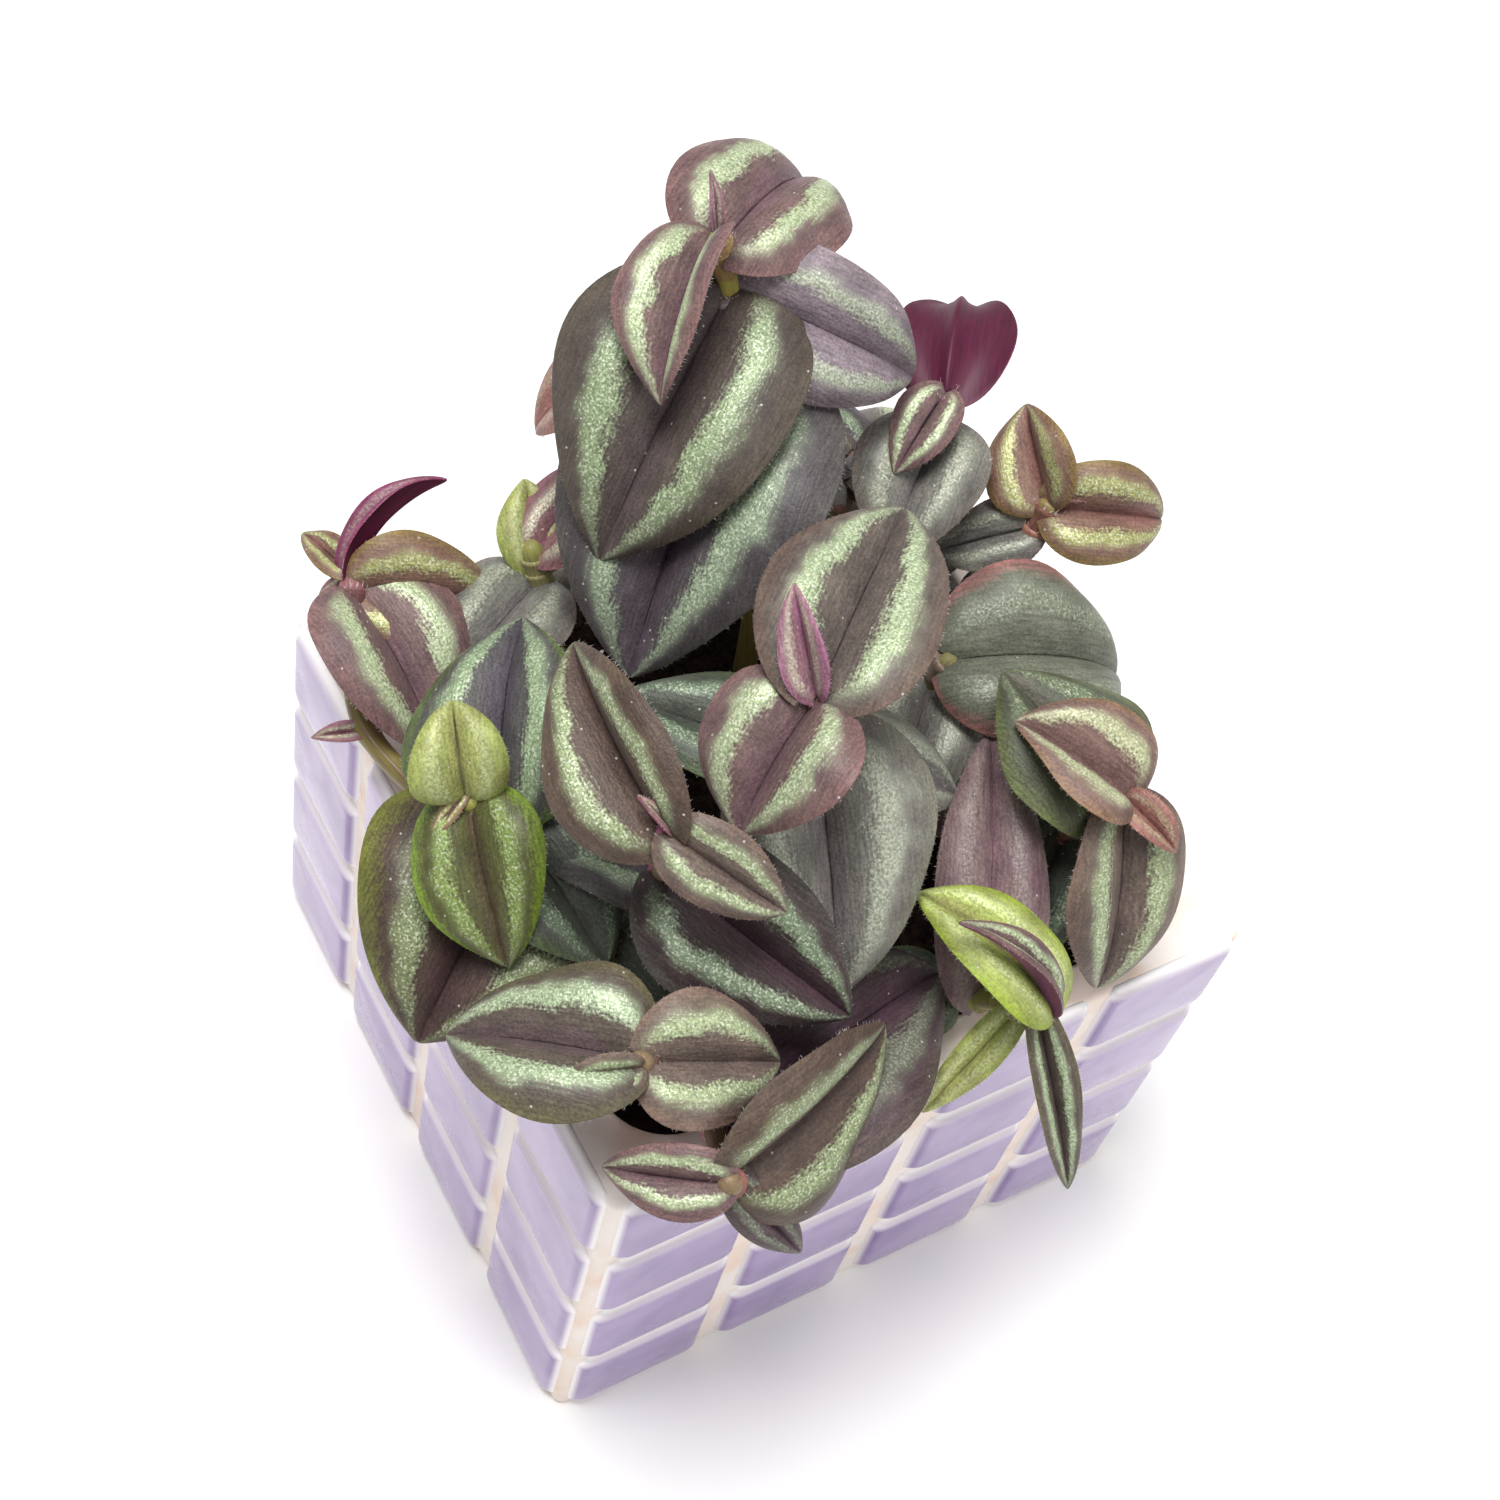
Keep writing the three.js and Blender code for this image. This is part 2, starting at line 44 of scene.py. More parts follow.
tileSeed = stemSeed + 500
soilSeed = stemSeed + 900
print("frame loaded:", len(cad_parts), "nodes")


# Colours and nodes
def linear(hexColour):
    # sRGB hex to linear red, green, blue and alpha
    shares = [int(hexColour[i:i + 2], 16) / 255 for i in (1, 3, 5)]
    return tuple(s / 12.92 if s <= 0.04045 else ((s + 0.055) / 1.055) ** 2.4 for s in shares) + (1.0,)


def setInputs(tree, node, inputs):
    # inputs come in the order of the node's sockets, or under their names or numbers. Each is a number, a
    # colour, an output of another node, or a node for its first output.
    for socket, source in inputs.items() if isinstance(inputs, dict) else enumerate(inputs):
        if isinstance(source, bpy.types.Node):
            source = source.outputs[0]
        if isinstance(source, bpy.types.NodeSocket):
            tree.links.new(source, node.inputs[socket])
        else:
            node.inputs[socket].default_value = source


def addNode(tree, kind, inputs=(), **settings):
    node = tree.nodes.new("ShaderNode" + kind)
    for key, value in settings.items():
        setattr(node, key, value)
    setInputs(tree, node, inputs)
    return node


def perMetre(size):
    # pattern scale on coordinates in metres for features of this size
    return 1 / (size * mm)


def newMaterial(name, shader):
    # a material and its node tree, with the uniform values set on the shader's sockets
    material = bpy.data.materials.new(name)
    material.use_nodes = True
    setInputs(material.node_tree, material.node_tree.nodes["Principled BSDF"], shader)
    return material, material.node_tree


def finishSurface(tree, look, height, inputs):
    # links what the nodes work out to the shader, and lets height stand out by the look's relief
    bump = addNode(tree, "Bump", {"Height": height, "Strength": look["sharpness"],
                                  "Distance": look["relief"] * mm})
    setInputs(tree, tree.nodes["Principled BSDF"], {**inputs, "Normal": bump})


def lengthwiseFibres(tree, look):
    # noise stretched along the leaf or stem, on millimetres along it and across it
    place = addNode(tree, "Attribute", attribute_name="leafMm").outputs["Vector"]
    stretch = (1 / look["fibreAlong"], 1 / look["fibreAcross"], 1.0)
    stretched = addNode(tree, "VectorMath", (place, stretch), operation="MULTIPLY")
    return addNode(tree, "TexNoise", {"Vector": stretched, "Scale": 1.0, "Detail": look["fibreDetail"]})


# Leaf: a soft succulent-like blade with a velvet of tiny hairs. The light breaks up into glitter on the two
# bands, where air lies under the skin, and stays satin on the ground between them. Part of the glitter is
# painted into the band colour as pale glints.
# Rows of four are ranges: from, to, and the two values that they turn into.
leafLook = {
    "shader": {"IOR": 1.42, "Sheen Weight": 0.03, "Sheen Roughness": 0.45, "Subsurface Weight": 0.06,
               "Subsurface Radius": (1.0, 0.7, 0.4), "Subsurface Scale": 0.0006, "Specular IOR Level": 0.42},
    "grain": 0.38, "grainDetail": 1.5, "grainRoughness": 0.6, "patch": 5.0, "patchDetail": 2.0,
    "fibreAcross": 0.34, "fibreAlong": 2.6, "fibreDetail": 2.0, "spark": 0.304, "sparkDetail": 0.0,
    "bandRagged": 0.2, "bandDrift": 1.7, "bandInner": (0.32, 0.46, 0, 1), "bandOuter": (0.54, 0.76, 1, 0),
    "baseFade": (0, 0.12, 0, 1), "tipFade": (0.7, 1, 1, 0.35), "fibreTone": (0.3, 0.7, 0.8, 1.2),
    "grainTone": (0.35, 0.65, 0.8, 1.2), "patchTone": (0.35, 0.65, 1.12, 0.8), "edgeFade": (0.74, 1, 0, 1),
    "ribWidth": (0, 1, 0.1, 0.42), "ribFade": (0.2, 1.1, 1, 0), "ribPatch": (0.45, 0.7, 0, 0.3),
    # spark: noise and colour of the pale painted glints on the bands
    "cellTone": (0.4, 0.62, 0.72, 1.25), "sparkFade": (0.56, 0.7, 0, 0.5), "paintedGlintColour": "#e9efd6",
    "dotSpacing": 2.6, "dotFade": (0.03, 0.075, 0.6, 0), "dotColour": "#e6ddd8",
    "roughness": (0, 1, 0.48, 0.36), "bandMetal": 0.15, "sharpness": 0.9, "relief": 0.09,
}


def leafMaterial(look):
    material, tree = newMaterial("tradescantiaLeaf", look["shader"])
    own = {name: addNode(tree, "Attribute", attribute_name=name).outputs
           for name in ("leafShare", "ground", "edge", "band", "rib")}
    along, side = addNode(tree, "SeparateXYZ", (own["leafShare"]["Vector"],)).outputs[:2]
    place = addNode(tree, "TexCoord").outputs["Object"]
    smooth = {"interpolation_type": "SMOOTHSTEP"}

    # grain: cells of the skin that catch the light. fibre: fine wrinkles that run from base to tip.
    grain, patch, spark = (addNode(tree, "TexNoise", {
        "Vector": place, "Scale": perMetre(look[name]), "Detail": look[name + "Detail"],
        "Roughness": look.get(name + "Roughness", 0.5)}) for name in ("grain", "patch", "spark"))
    fibre = lengthwiseFibres(tree, look)
    # ragged: distance from the midrib with grain, fibre and patches added, less the 0.5 that each averages,
    # so that the bands wander and have torn edges
    wander = addNode(tree, "Math", (grain, fibre), operation="ADD")
    wander = addNode(tree, "Math", (patch, look["bandDrift"], wander), operation="MULTIPLY_ADD")
    wander = addNode(tree, "Math", (wander, -1.0 - 0.5 * look["bandDrift"]), operation="ADD")
    ragged = addNode(tree, "Math", (wander, look["bandRagged"], side), operation="MULTIPLY_ADD")

    # band mask: rises at the inner edge, falls at the outer edge, fades at the base and towards the tip
    bandMask = own["band"]["Alpha"]
    for value, name, ease in ((ragged, "bandInner", smooth), (ragged, "bandOuter", smooth),
                              (along, "baseFade", {}), (along, "tipFade", {})):
        part = addNode(tree, "MapRange", (value, *look[name]), **ease)
        bandMask = addNode(tree, "Math", (bandMask, part), operation="MULTIPLY")

    # ground colour: the edge colour comes in towards the margin, the rib colour in patches and in a wedge
    # along the midrib that widens towards the tip
    edgeMask = addNode(tree, "MapRange", (ragged, *look["edgeFade"]), **smooth)
    wedge = addNode(tree, "MapRange", (along, *look["ribWidth"]))
    wedge = addNode(tree, "Math", (ragged, wedge), operation="DIVIDE")
    wedge = addNode(tree, "MapRange", (wedge, *look["ribFade"]), **smooth)
    wedge = addNode(tree, "Math", (wedge, own["rib"]["Alpha"]), operation="MULTIPLY")
    ribPatch = addNode(tree, "MapRange", (patch, *look["ribPatch"]))
    ribMask = addNode(tree, "Math", (wedge, ribPatch), operation="MAXIMUM")
    colour = own["ground"]["Color"]
    for mask, over in ((edgeMask, own["edge"]["Color"]), (ribMask, own["rib"]["Color"])):
        colour = addNode(tree, "Mix", {0: mask, 6: colour, 7: over}, data_type="RGBA").outputs[2]
    # mottled in fibres, grain and broad patches
    for value, name in ((fibre, "fibreTone"), (grain, "grainTone"), (patch, "patchTone")):
        tone = addNode(tree, "MapRange", (value, *look[name]))
        colour = addNode(tree, "VectorMath", {0: colour, "Scale": tone}, operation="SCALE")

    # band colour: dark and light cells, a few of which carry pale painted glints. Pale dots are scattered
    # over the whole skin.
    cell = addNode(tree, "MapRange", (grain, *look["cellTone"]))
    silver = addNode(tree, "VectorMath", {0: own["band"]["Color"], "Scale": cell}, operation="SCALE")
    spark = addNode(tree, "MapRange", (spark, *look["sparkFade"]))
    silver = addNode(tree, "Mix", {0: spark, 6: silver, 7: linear(look["paintedGlintColour"])}, data_type="RGBA")
    dots = addNode(tree, "TexVoronoi", {"Vector": place, "Scale": perMetre(look["dotSpacing"])})
    dots = addNode(tree, "MapRange", (dots, *look["dotFade"]))
    for mask, over in ((bandMask, silver.outputs[2]), (dots, linear(look["dotColour"]))):
        colour = addNode(tree, "Mix", {0: mask, 6: colour, 7: over}, data_type="RGBA").outputs[2]

    roughness = addNode(tree, "MapRange", (bandMask, *look["roughness"]))
    metal = addNode(tree, "Math", (bandMask, look["bandMetal"]), operation="MULTIPLY")
    height = addNode(tree, "Math", (fibre, grain), operation="ADD")
    finishSurface(tree, look, height, {"Base Color": colour, "Roughness": roughness, "Metallic": metal})
    return material


# Underside of the leaf: smooth skin in purple or green, more even than the upper side
underLook = {
    "shader": {"IOR": 1.42, "Sheen Weight": 0.03, "Sheen Roughness": 0.4, "Subsurface Weight": 0.08,
               "Subsurface Radius": (1.0, 0.5, 0.5), "Subsurface Scale": 0.0009, "Roughness": 0.52},
    "fibreAcross": 0.5, "fibreAlong": 4.0, "fibreDetail": 3.0, "fibreTone": (0.3, 0.7, 0.75, 1.25),
    "sharpness": 0.8, "relief": 0.05,
}


def underMaterial(look):
    material, tree = newMaterial("tradescantiaLeafUnderside", look["shader"])
    fibre = lengthwiseFibres(tree, look)
    tone = addNode(tree, "MapRange", (fibre, *look["fibreTone"]))
    under = addNode(tree, "Attribute", attribute_name="under").outputs["Color"]
    colour = addNode(tree, "VectorMath", {0: under, "Scale": tone}, operation="SCALE")
    finishSurface(tree, look, fibre, {"Base Color": colour})
    return material


# Stem and sheaths: juicy skin with fine reddish streaks lengthwise, satin
stemLook = {
    "shader": {"IOR": 1.42, "Subsurface Weight": 0.15, "Subsurface Radius": (1.0, 0.7, 0.4),
               "Subsurface Scale": 0.0012, "Roughness": 0.4, "Sheen Weight": 0.1},
    "fibreAcross": 0.4, "fibreAlong": 3.5, "fibreDetail": 2.0, "streakFade": (0.5, 0.68, 0, 0.6),
    "streakColour": "#6a3a52", "sharpness": 0.8, "relief": 0.06,
}


def stemMaterial(look):
    material, tree = newMaterial("tradescantiaStem", look["shader"])
    streak = lengthwiseFibres(tree, look)
    mask = addNode(tree, "MapRange", (streak, *look["streakFade"]))
    own = addNode(tree, "Attribute", attribute_name="ground").outputs["Color"]
    colour = addNode(tree, "Mix", {0: mask, 6: own, 7: linear(look["streakColour"])}, data_type="RGBA")
    finishSurface(tree, look, streak, {"Base Color": colour.outputs[2]})
    return material


# Hairs: clear bristles, pale where they catch the light
hairLook = {
    "Base Color": linear("#d9cfc8"), "Roughness": 0.45, "Subsurface Weight": 0.2, "Subsurface Scale": 0.0005,
}

leafFinish = leafMaterial(leafLook)
underFinish = underMaterial(underLook)
stemFinish = stemMaterial(stemLook)
hairFinish = newMaterial("tradescantiaHair", hairLook)[0]

# Leaf tones: ground, edge, band and rib colour of the upper side, colour of the underside,
# then how strong the band and the rib colour are
leafTones = {
    "mauve": ("#6b5653", "#7b5d5a", "#a3b08a", "#6b4f5c", "#7b4866", 0.95, 0.5),
    "brown": ("#6b5e54", "#745f54", "#9aa680", "#59484a", "#7a4560", 1.0, 0.5),
    "taupe": ("#655c54", "#69574c", "#a3b18c", "#584a4e", "#74465e", 1.0, 0.4),
    "dark": ("#4e453f", "#4f473c", "#82926e", "#4d3f45", "#5f2f4c", 0.9, 0.5),
    "deep": ("#3c2f2f", "#4b4842", "#7f9074", "#47303c", "#5f2f4c", 0.9, 0.5),
    "slate": ("#4c4748", "#53504c", "#8c9d80", "#4c3d4a", "#5a2c4a", 0.85, 0.6),
    "greyGreen": ("#78776e", "#787668", "#a6ab98", "#70636a", "#6a3f5c", 0.75, 0.5),
    "grey": ("#6b6a62", "#756e66", "#969a86", "#62595f", "#6a4560", 0.6, 0.4),
    "greyMauve": ("#80747a", "#86797c", "#a0a993", "#766470", "#7b4866", 0.8, 0.4),
    "teal": ("#454c40", "#4c5a38", "#6f8268", "#454040", "#4a5a48", 0.7, 0.4),
    "moss": ("#584f45", "#605a40", "#9bab89", "#5e4b52", "#6a5052", 1.0, 0.6),
    "green": ("#4e512b", "#6b861c", "#859b55", "#524336", "#8a9a4a", 0.65, 0.8),
    "forest": ("#4d5240", "#5a6338", "#7a8868", "#50443e", "#6a7a4a", 0.7, 0.5),
    "lime": ("#95a152", "#889b32", "#b5c080", "#80705a", "#94a45a", 0.7, 0.5),
    "olive": ("#7a6052", "#7c6a3e", "#a3a66c", "#885a58", "#7a5a50", 0.9, 0.6),
    "oliveEdge": ("#473831", "#64682b", "#7a875e", "#402e32", "#5f3f4c", 0.8, 0.6),
    "blueGreen": ("#4d4b48", "#566832", "#8fa47e", "#4b4250", "#5f3a58", 0.85, 0.6),
    "purple": ("#4a3b3f", "#524641", "#87957a", "#4e3644", "#5a2c4a", 0.4, 0.6),
    "umber": ("#4f4036", "#57483c", "#89966f", "#4a3836", "#6a3a50", 0.9, 0.5),
    "dusty": ("#7c6866", "#7a6664", "#958a86", "#7a4c6c", "#70406a", 0.3, 0.25),
    "redBrown": ("#6a4c49", "#70524c", "#86756a", "#724655", "#6a3a50", 0.4, 0.5),
    "rose": ("#80605f", "#8f6068", "#aaa48e", "#94607a", "#a05a80", 0.8, 0.6),
    "pink": ("#7f5f66", "#93607a", "#a09a86", "#96607c", "#a0608c", 0.6, 0.7),
    "red": ("#8a625a", "#96685c", "#a8987a", "#8f5f5c", "#9a6a5c", 0.5, 0.5),
    "magenta": ("#6f3450", "#7f3a5a", "#98807a", "#7a2a5a", "#4c0e2c", 0.3, 0.6),
    "twoTone": ("#775f58", "#85684f", "#b0b48c", "#7b5c58", "#8a8a50", 0.9, 0.4),
    "rosyGrey": ("#676a5b", "#8c5f5b", "#808975", "#605e56", "#70505c", 0.45, 0.3),
    "glassy": ("#979e5c", "#8f9a50", "#b3b985", "#8f7f62", "#a0a868", 0.5, 0.4),
}

# The leafy stems, as in the solid model, in millimetres. path: points that the stem passes.
# leaves: height where the leaf leaves the stem, heading seen from above (0 is +X, 90 is +Y), pitch, length,
# width, roll about the midrib, rise of the halves, turn of the midrib, and the leaf's tone.
shoots = [
    {"name": "stem_top", "path": [(-18, 8, 48), (-24, 10, 78), (-33, 9, 104), (-37, 6, 120), (-40, 3, 131)],
     "stem": "#a9a04e", "sheath": "#a98a52", "leaves": [
        (129, 122, -19, 29, 23, 4, 10, 70, "mauve"),
        (131, 178, 62, 8, 3, 0, 50, 0, "pink"),
        (130, -44, -26, 22, 20, 34, 45, 30, "mauve"),
        (123, -54, -36, 38, 32, -3, 14, 40, "dark"),
        (112, -46, -32, 44, 38, 8, 18, 40, "slate"),
        (123, 58, -22, 31, 19, 44, 12, 100, "greyMauve"),
        (110, -112, -26, 33, 22, 0, 15, 105, "red"),
        (104, 165, -34, 26, 22, 0, 15, 50, "slate"),
        (96, 95, -40, 22, 18, 0, 15, 40, "grey"),
        (84, 168, -10, 24, 19, 0, 15, 45, "teal"),
        (78, -130, -2, 21, 17, 0, 15, 35, "slate"),
    ]},
    {"name": "stem_heart", "path": [(10, -16, 48), (15, -23, 78), (21, -31, 98), (24, -34, 112)],
     "stem": "#7d6a4a", "sheath": "#9a5a72", "leaves": [
        (111, 179, 8, 26, 20, -50, 34, 30, "umber"),
        (112, 41, -22, 16.5, 10.5, 42, 20, 30, "brown"),
        (112, -146, 40, 6, 3, 0, 50, 0, "rose"),
        (96, 30, -13, 28, 21, 36, 20, 30, "deep"),
        (88, -140, -10, 20, 16, 0, 15, 40, "slate"),
    ]},
    {"name": "stem_crown", "path": [(4, 0, 48), (8, -2, 78), (14, -8, 102), (18, -13, 119)],
     "stem": "#7d6a4a", "sheath": "#a06a6a", "leaves": [
        (119, 130, 0, 31, 23, -2, 20, 30, "taupe"),
        (119, 172, 34, 13, 9, -38, 50, 0, "pink"),
        (118, -60, -40, 18, 22, 14, 20, 40, "mauve"),
        (106, -12, -42, 33, 27, 8, 15, 30, "greyGreen"),
        (88, -135, 2, 26, 18, 0, 15, 30, "teal"),
        (98, 60, -20, 22, 17, 0, 15, 30, "greyGreen"),
    ]},
    {"name": "stem_left", "path": [(-2, -24, 48), (0, -32, 74), (3, -43, 90), (3, -48, 98)],
     "stem": "#8a8a3e", "sheath": "#9a9a4a", "leaves": [
        (97, -6, -36, 21, 17, 28, 15, 40, "green"),
        (98, 168, 40, 12, 13, -14, 25, 80, "glassy"),
        (98, -67, -27, 7, 3, -10, 40, 0, "olive"),
        (90, 149, 17, 26, 24, -24, 15, 40, "blueGreen"),
        (85, -50, -20, 30, 34, -12, 12, 40, "oliveEdge"),
        (89, 12, -15, 22, 21, -4, 15, 30, "teal"),
    ]},
    {"name": "stem_far_left",
     "path": [(-12, -30, 48), (-8, -38, 70), (-9, -46, 79), (-21, -50, 82), (-36, -45, 91)],
     "stem": "#7a7038", "sheath": "#8a5a5a", "leaves": [
        (90, 8, -26, 24, 22, -8, 18, 40, "mauve"),
        (91, 108, 24, 18, 8, -40, 60, 60, "magenta"),
        (90, 78, -18, 20.5, 17, 40, 20, 50, "olive"),
        (91, -168, -14, 11, 6, -14, 30, 20, "olive"),
        (91, -115, -60, 8, 3, -36, 40, 50, "rose"),
        (81.5, -109, -8, 7, 4, -20, 45, 0, "rose"),
    ]},
    {"name": "stem_front_left", "path": [(24, -24, 48), (31, -33, 78), (38, -41, 90), (41, -44, 94)],
     "stem": "#7d6a4a", "sheath": "#8f6a5c", "leaves": [
        (93, -133, -19, 24, 21, -4, 18, 30, "moss"),
        (94, -109, -13, 9, 8, -40, 45, 20, "brown"),
        (93, 74, -16, 18, 17, 25, 18, 30, "brown"),
        (80, -172, -4, 20, 16, 0, 15, 35, "teal"),
    ]},
    {"name": "stem_front", "path": [(32, -20, 48), (38, -29, 71), (50, -36, 80), (56, -39, 87)],
     "stem": "#7d6a4a", "sheath": "#9a6058", "leaves": [
        (84, 108, 7, 27, 23, 62, 22, 20, "umber"),
        (77, 102, -2, 38, 30, 5, 20, 30, "purple"),
        (86, -129, -13, 15, 10, -38, 25, 30, "mauve"),
        (84, 44, -48, 17, 7, 40, 20, 20, "purple"),
    ]},
    {"name": "stem_hanging", "path": [(30, 0, 48), (42, 4, 76), (50, 6, 85), (52, 7, 88)],
     "stem": "#8a8a4a", "sheath": "#a09a5a", "leaves": [
        (88, -153, 12, 22, 14, 0, 20, 60, "lime"),
        (88, -135, 38, 19, 7, 12, 50, 60, "mauve"),
        (86, 10, -57, 29, 9, 25, 50, 20, "moss"),
        (84, -80, -55, 20, 6, -18, 25, 30, "glassy"),
        (79, 153, 26, 35, 15, -4, 15, 60, "dusty"),
        (73, -110, -4, 17, 14, 0, 15, 30, "teal"),
    ]},
    {"name": "stem_right", "path": [(20, 16, 48), (27, 20, 78), (34, 24, 93), (36, 25, 100.5)],
     "stem": "#8a6a4a", "sheath": "#a06058", "leaves": [
        (96, -166, 16, 22, 23, 4, 12, 30, "forest"),
        (100, -143, 16, 17, 20, 0, 35, 20, "twoTone"),
        (99, -19, -60, 27, 18, -10, 20, 40, "brown"),
        (100, 20, -14, 9, 7, 22, 45, 50, "red"),
        (83, -150, -14, 20, 13, -20, 20, 20, "redBrown"),
        (88, -50, -40, 20, 14, 0, 15, 40, "teal"),
        (80, 62, -6, 16, 15, 0, 15, 40, "teal"),
    ]},
    {"name": "stem_shade", "path": [(4, 12, 48), (5, 14, 76), (8, 17, 98)],
     "stem": "#7d7a4a", "sheath": "#7d6a58", "leaves": [
        (97, 76, -18, 30, 24, 20, 12, 90, "rosyGrey"),
        (92, -45, -20, 20, 17, 0, 15, 30, "greyGreen"),
        (88, 170, -10, 24, 18, 0, 15, 40, "slate"),
    ]},
    {"name": "stem_upper_right", "path": [(-10, 18, 48), (-15, 25, 80), (-20, 30, 102), (-21, 30, 112)],
     "stem": "#7d6a4a", "sheath": "#8a5a6a", "leaves": [
        (112, 138, -17, 27, 16, 168, 10, -110, "magenta"),
        (112, -61, -32, 12.5, 9, 0, 15, 20, "mauve"),
        (106, -48, -24, 20, 18, 0, 15, 30, "grey"),
        (96, 160, -45, 20, 17, 0, 15, 40, "slate"),
        (84, 118, -8, 20, 17, 0, 15, 45, "greyGreen"),
        (78, 30, -4, 18, 15, 0, 15, 35, "teal"),
    ]},
    {"name": "stem_far_right", "path": [(0, 26, 48), (-1, 31, 80), (-5, 38, 98), (-6, 40, 103)],
     "stem": "#8a7a4a", "sheath": "#9a6a58", "leaves": [
        (102, 168, 25, 14, 16, -51, 32, 10, "olive"),
        (102, 74, -14, 19, 15, 42, 24, 70, "olive"),
        (103, 60, 10, 6, 3, 0, 45, 0, "red"),
        (99, -117, -29, 15, 10, -24, 12, 20, "grey"),
        (90, 10, -30, 22, 16, 0, 15, 40, "greyGreen"),
        (83, 108, -15, 18, 16, 0, 15, 45, "slate"),
    ]},
    {"name": "stem_west", "path": [(-22, -16, 48), (-27, -20, 78), (-32, -22, 92)],
     "stem": "#8a8a4a", "sheath": "#8f8a5a", "leaves": [
        (88, 166, 28, 12, 10, 0, 15, 30, "glassy"),
        (90, 115, 10, 18, 12, 0, 15, 40, "rose"),
        (86, -60, -6, 22, 17, 0, 15, 40, "grey"),
        (84, 170, -50, 24, 18, 0, 15, 40, "greyGreen"),
    ]},
    {"name": "stem_back", "path": [(-28, 24, 48), (-34, 30, 72), (-38, 34, 80)],
     "stem": "#7d7a4a", "sheath": "#8a6a5a", "leaves": [
        (80, 150, -40, 24, 19, 0, 15, 50, "taupe"),
        (79, -150, -25, 24, 18, 0, 15, 50, "slate"),
        (78, 60, -25, 22, 17, 0, 15, 50, "dark"),
        (76, 95, -20, 20, 16, 0, 15, 50, "moss"),
    ]},
    {"name": "stem_east", "path": [(14, 26, 48), (16, 31, 72), (17, 34, 82)],
     "stem": "#7d7a4a", "sheath": "#8a6a5a", "leaves": [
        (82, 62, -24, 15, 15, 0, 15, 50, "moss"),
        (81, 150, -16, 21, 17, 0, 15, 50, "greyGreen"),
        (79, -10, -16, 21, 17, 0, 15, 40, "slate"),
        (73, 118, -4, 17, 15, 0, 15, 35, "forest"),
    ]},
]


leafShape = {
    "grid": (36, 16), "smallGrid": (20, 9), "smallBlade": 16, "endGap": 0.003, "baseRoundness": 0.45,
    "tipRoundness": 0.85, "widestShare": 0.4324, "lobeReach": 0.08, "lobePower": 4, "puff": 0.16,
    "marginDrop": 0.14, "thickness": 0.5, "marginThickness": 0.16, "thinPowers": (6, 4), "ribDepth": 0.35,
    "ribWidth": 0.09, "veins": 6, "veinDepth": 0.045, "uneven": 0.04, "unevenTurns": 1.1,
    "waveShare": 0.028, "waveTurns": (5.5, 11), "secondWave": 0.6,
    "hairSpacing": 0.55, "marginLength": 1.15, "fewestHairs": 6, "hairPlaces": (0.03, 0.98),
    "hairSunk": 0.05, "hairLength": (0.3, 0.7), "hairRadius": 0.028, "hairLean": 0.7, "hairSpread": 0.18,
    "hairGrowth": (0.55, 60), "tintSpread": 0.07, "patternShift": 40, "patternSpread": 500,
}

stemShape = {
    "radius": 1.5, "taper": 0.3, "tipShare": 0.55, "sides": 20, "stepsPerSpan": 14, "nodeSwell": 0.22,
    "nodeLength": 1.4, "footShade": (0.45, 0.4, 0.4, 1), "shadeTop": 60, "shadeDepth": 25,
    "sheathLength": 4.5, "sheathRings": 9, "sheathStand": 0.16, "sheathMouth": 0.5, "sheathEnds": 0.8,
    "sheathSides": 18, "budLeaf": 12, "lowLeaf": 80, "mouthHairs": 16, "mouthHairLength": (0.7, 1.4),
    "mouthHairRadius": 0.035, "mouthHairLean": 0.5, "mouthHairSpread": 0.15, "patternDepth": 3.0,
}

# what the leaf materials read at each point, with how many numbers it has
leafValues = {"leafShare": 3, "leafMm": 3, "ground": 4, "edge": 4, "band": 4, "rib": 4, "under": 4}
upperSkin, underSkin, stemSkin, hairSkin = range(4)


def makePiece(name, points, faces, materials, kinds=0, smooth=True):
    # a piece out of points and a list of faces. kinds: which of the materials each face has
    mesh = bpy.data.meshes.new(name)
    mesh.from_pydata(np.asarray(points) * mm, [], faces)
    count = len(mesh.polygons)
    mesh.polygons.foreach_set("material_index", np.broadcast_to(kinds, count).astype(np.int32))
    mesh.polygons.foreach_set("use_smooth", np.full(count, smooth))
    for material in materials:
        mesh.materials.append(material)
    mesh.update()
    piece = bpy.data.objects.new(name, mesh)
    bpy.context.scene.collection.objects.link(piece)
    return piece


def addValues(piece, name, values):
    # a value at each point that a material reads: one number, three numbers or a colour
    kinds = {1: ("FLOAT", "value"), 3: ("FLOAT_VECTOR", "vector"), 4: ("FLOAT_COLOR", "color")}
    kind, key = kinds[values.shape[1]]
    layer = piece.data.attributes.new(name, kind, "POINT")
    layer.data.foreach_set(key, values.astype(np.float32).ravel())


class Mesh:
    # gathers points, faces, and the values that the materials read, for one piece
    def __init__(self):
        self.points, self.faces, self.count = [], [], 0
        self.values = {key: [] for key in leafValues}

    def add(self, points, groups, values):
        # groups: arrays of faces, each with the number of its material
        self.points.append(points)
        self.faces += [(faces + self.count, np.full(len(faces), kind)) for faces, kind in groups]
        for key, width in leafValues.items():
            self.values[key].append(np.broadcast_to(values.get(key, (0.0,) * width), (len(points), width)))
        self.count += len(points)

    def piece(self, name, materials):
        ordered = sorted(self.faces, key=lambda group: -group[0].shape[1])  # quads, then triangles
        faces = [face for group, _ in ordered for face in group.tolist()]
        kinds = np.concatenate([kind for _, kind in ordered])
        piece = makePiece(name, np.concatenate(self.points), faces, materials, kinds)
        for key, parts in self.values.items():
            addValues(piece, key, np.concatenate(parts))
        return piece


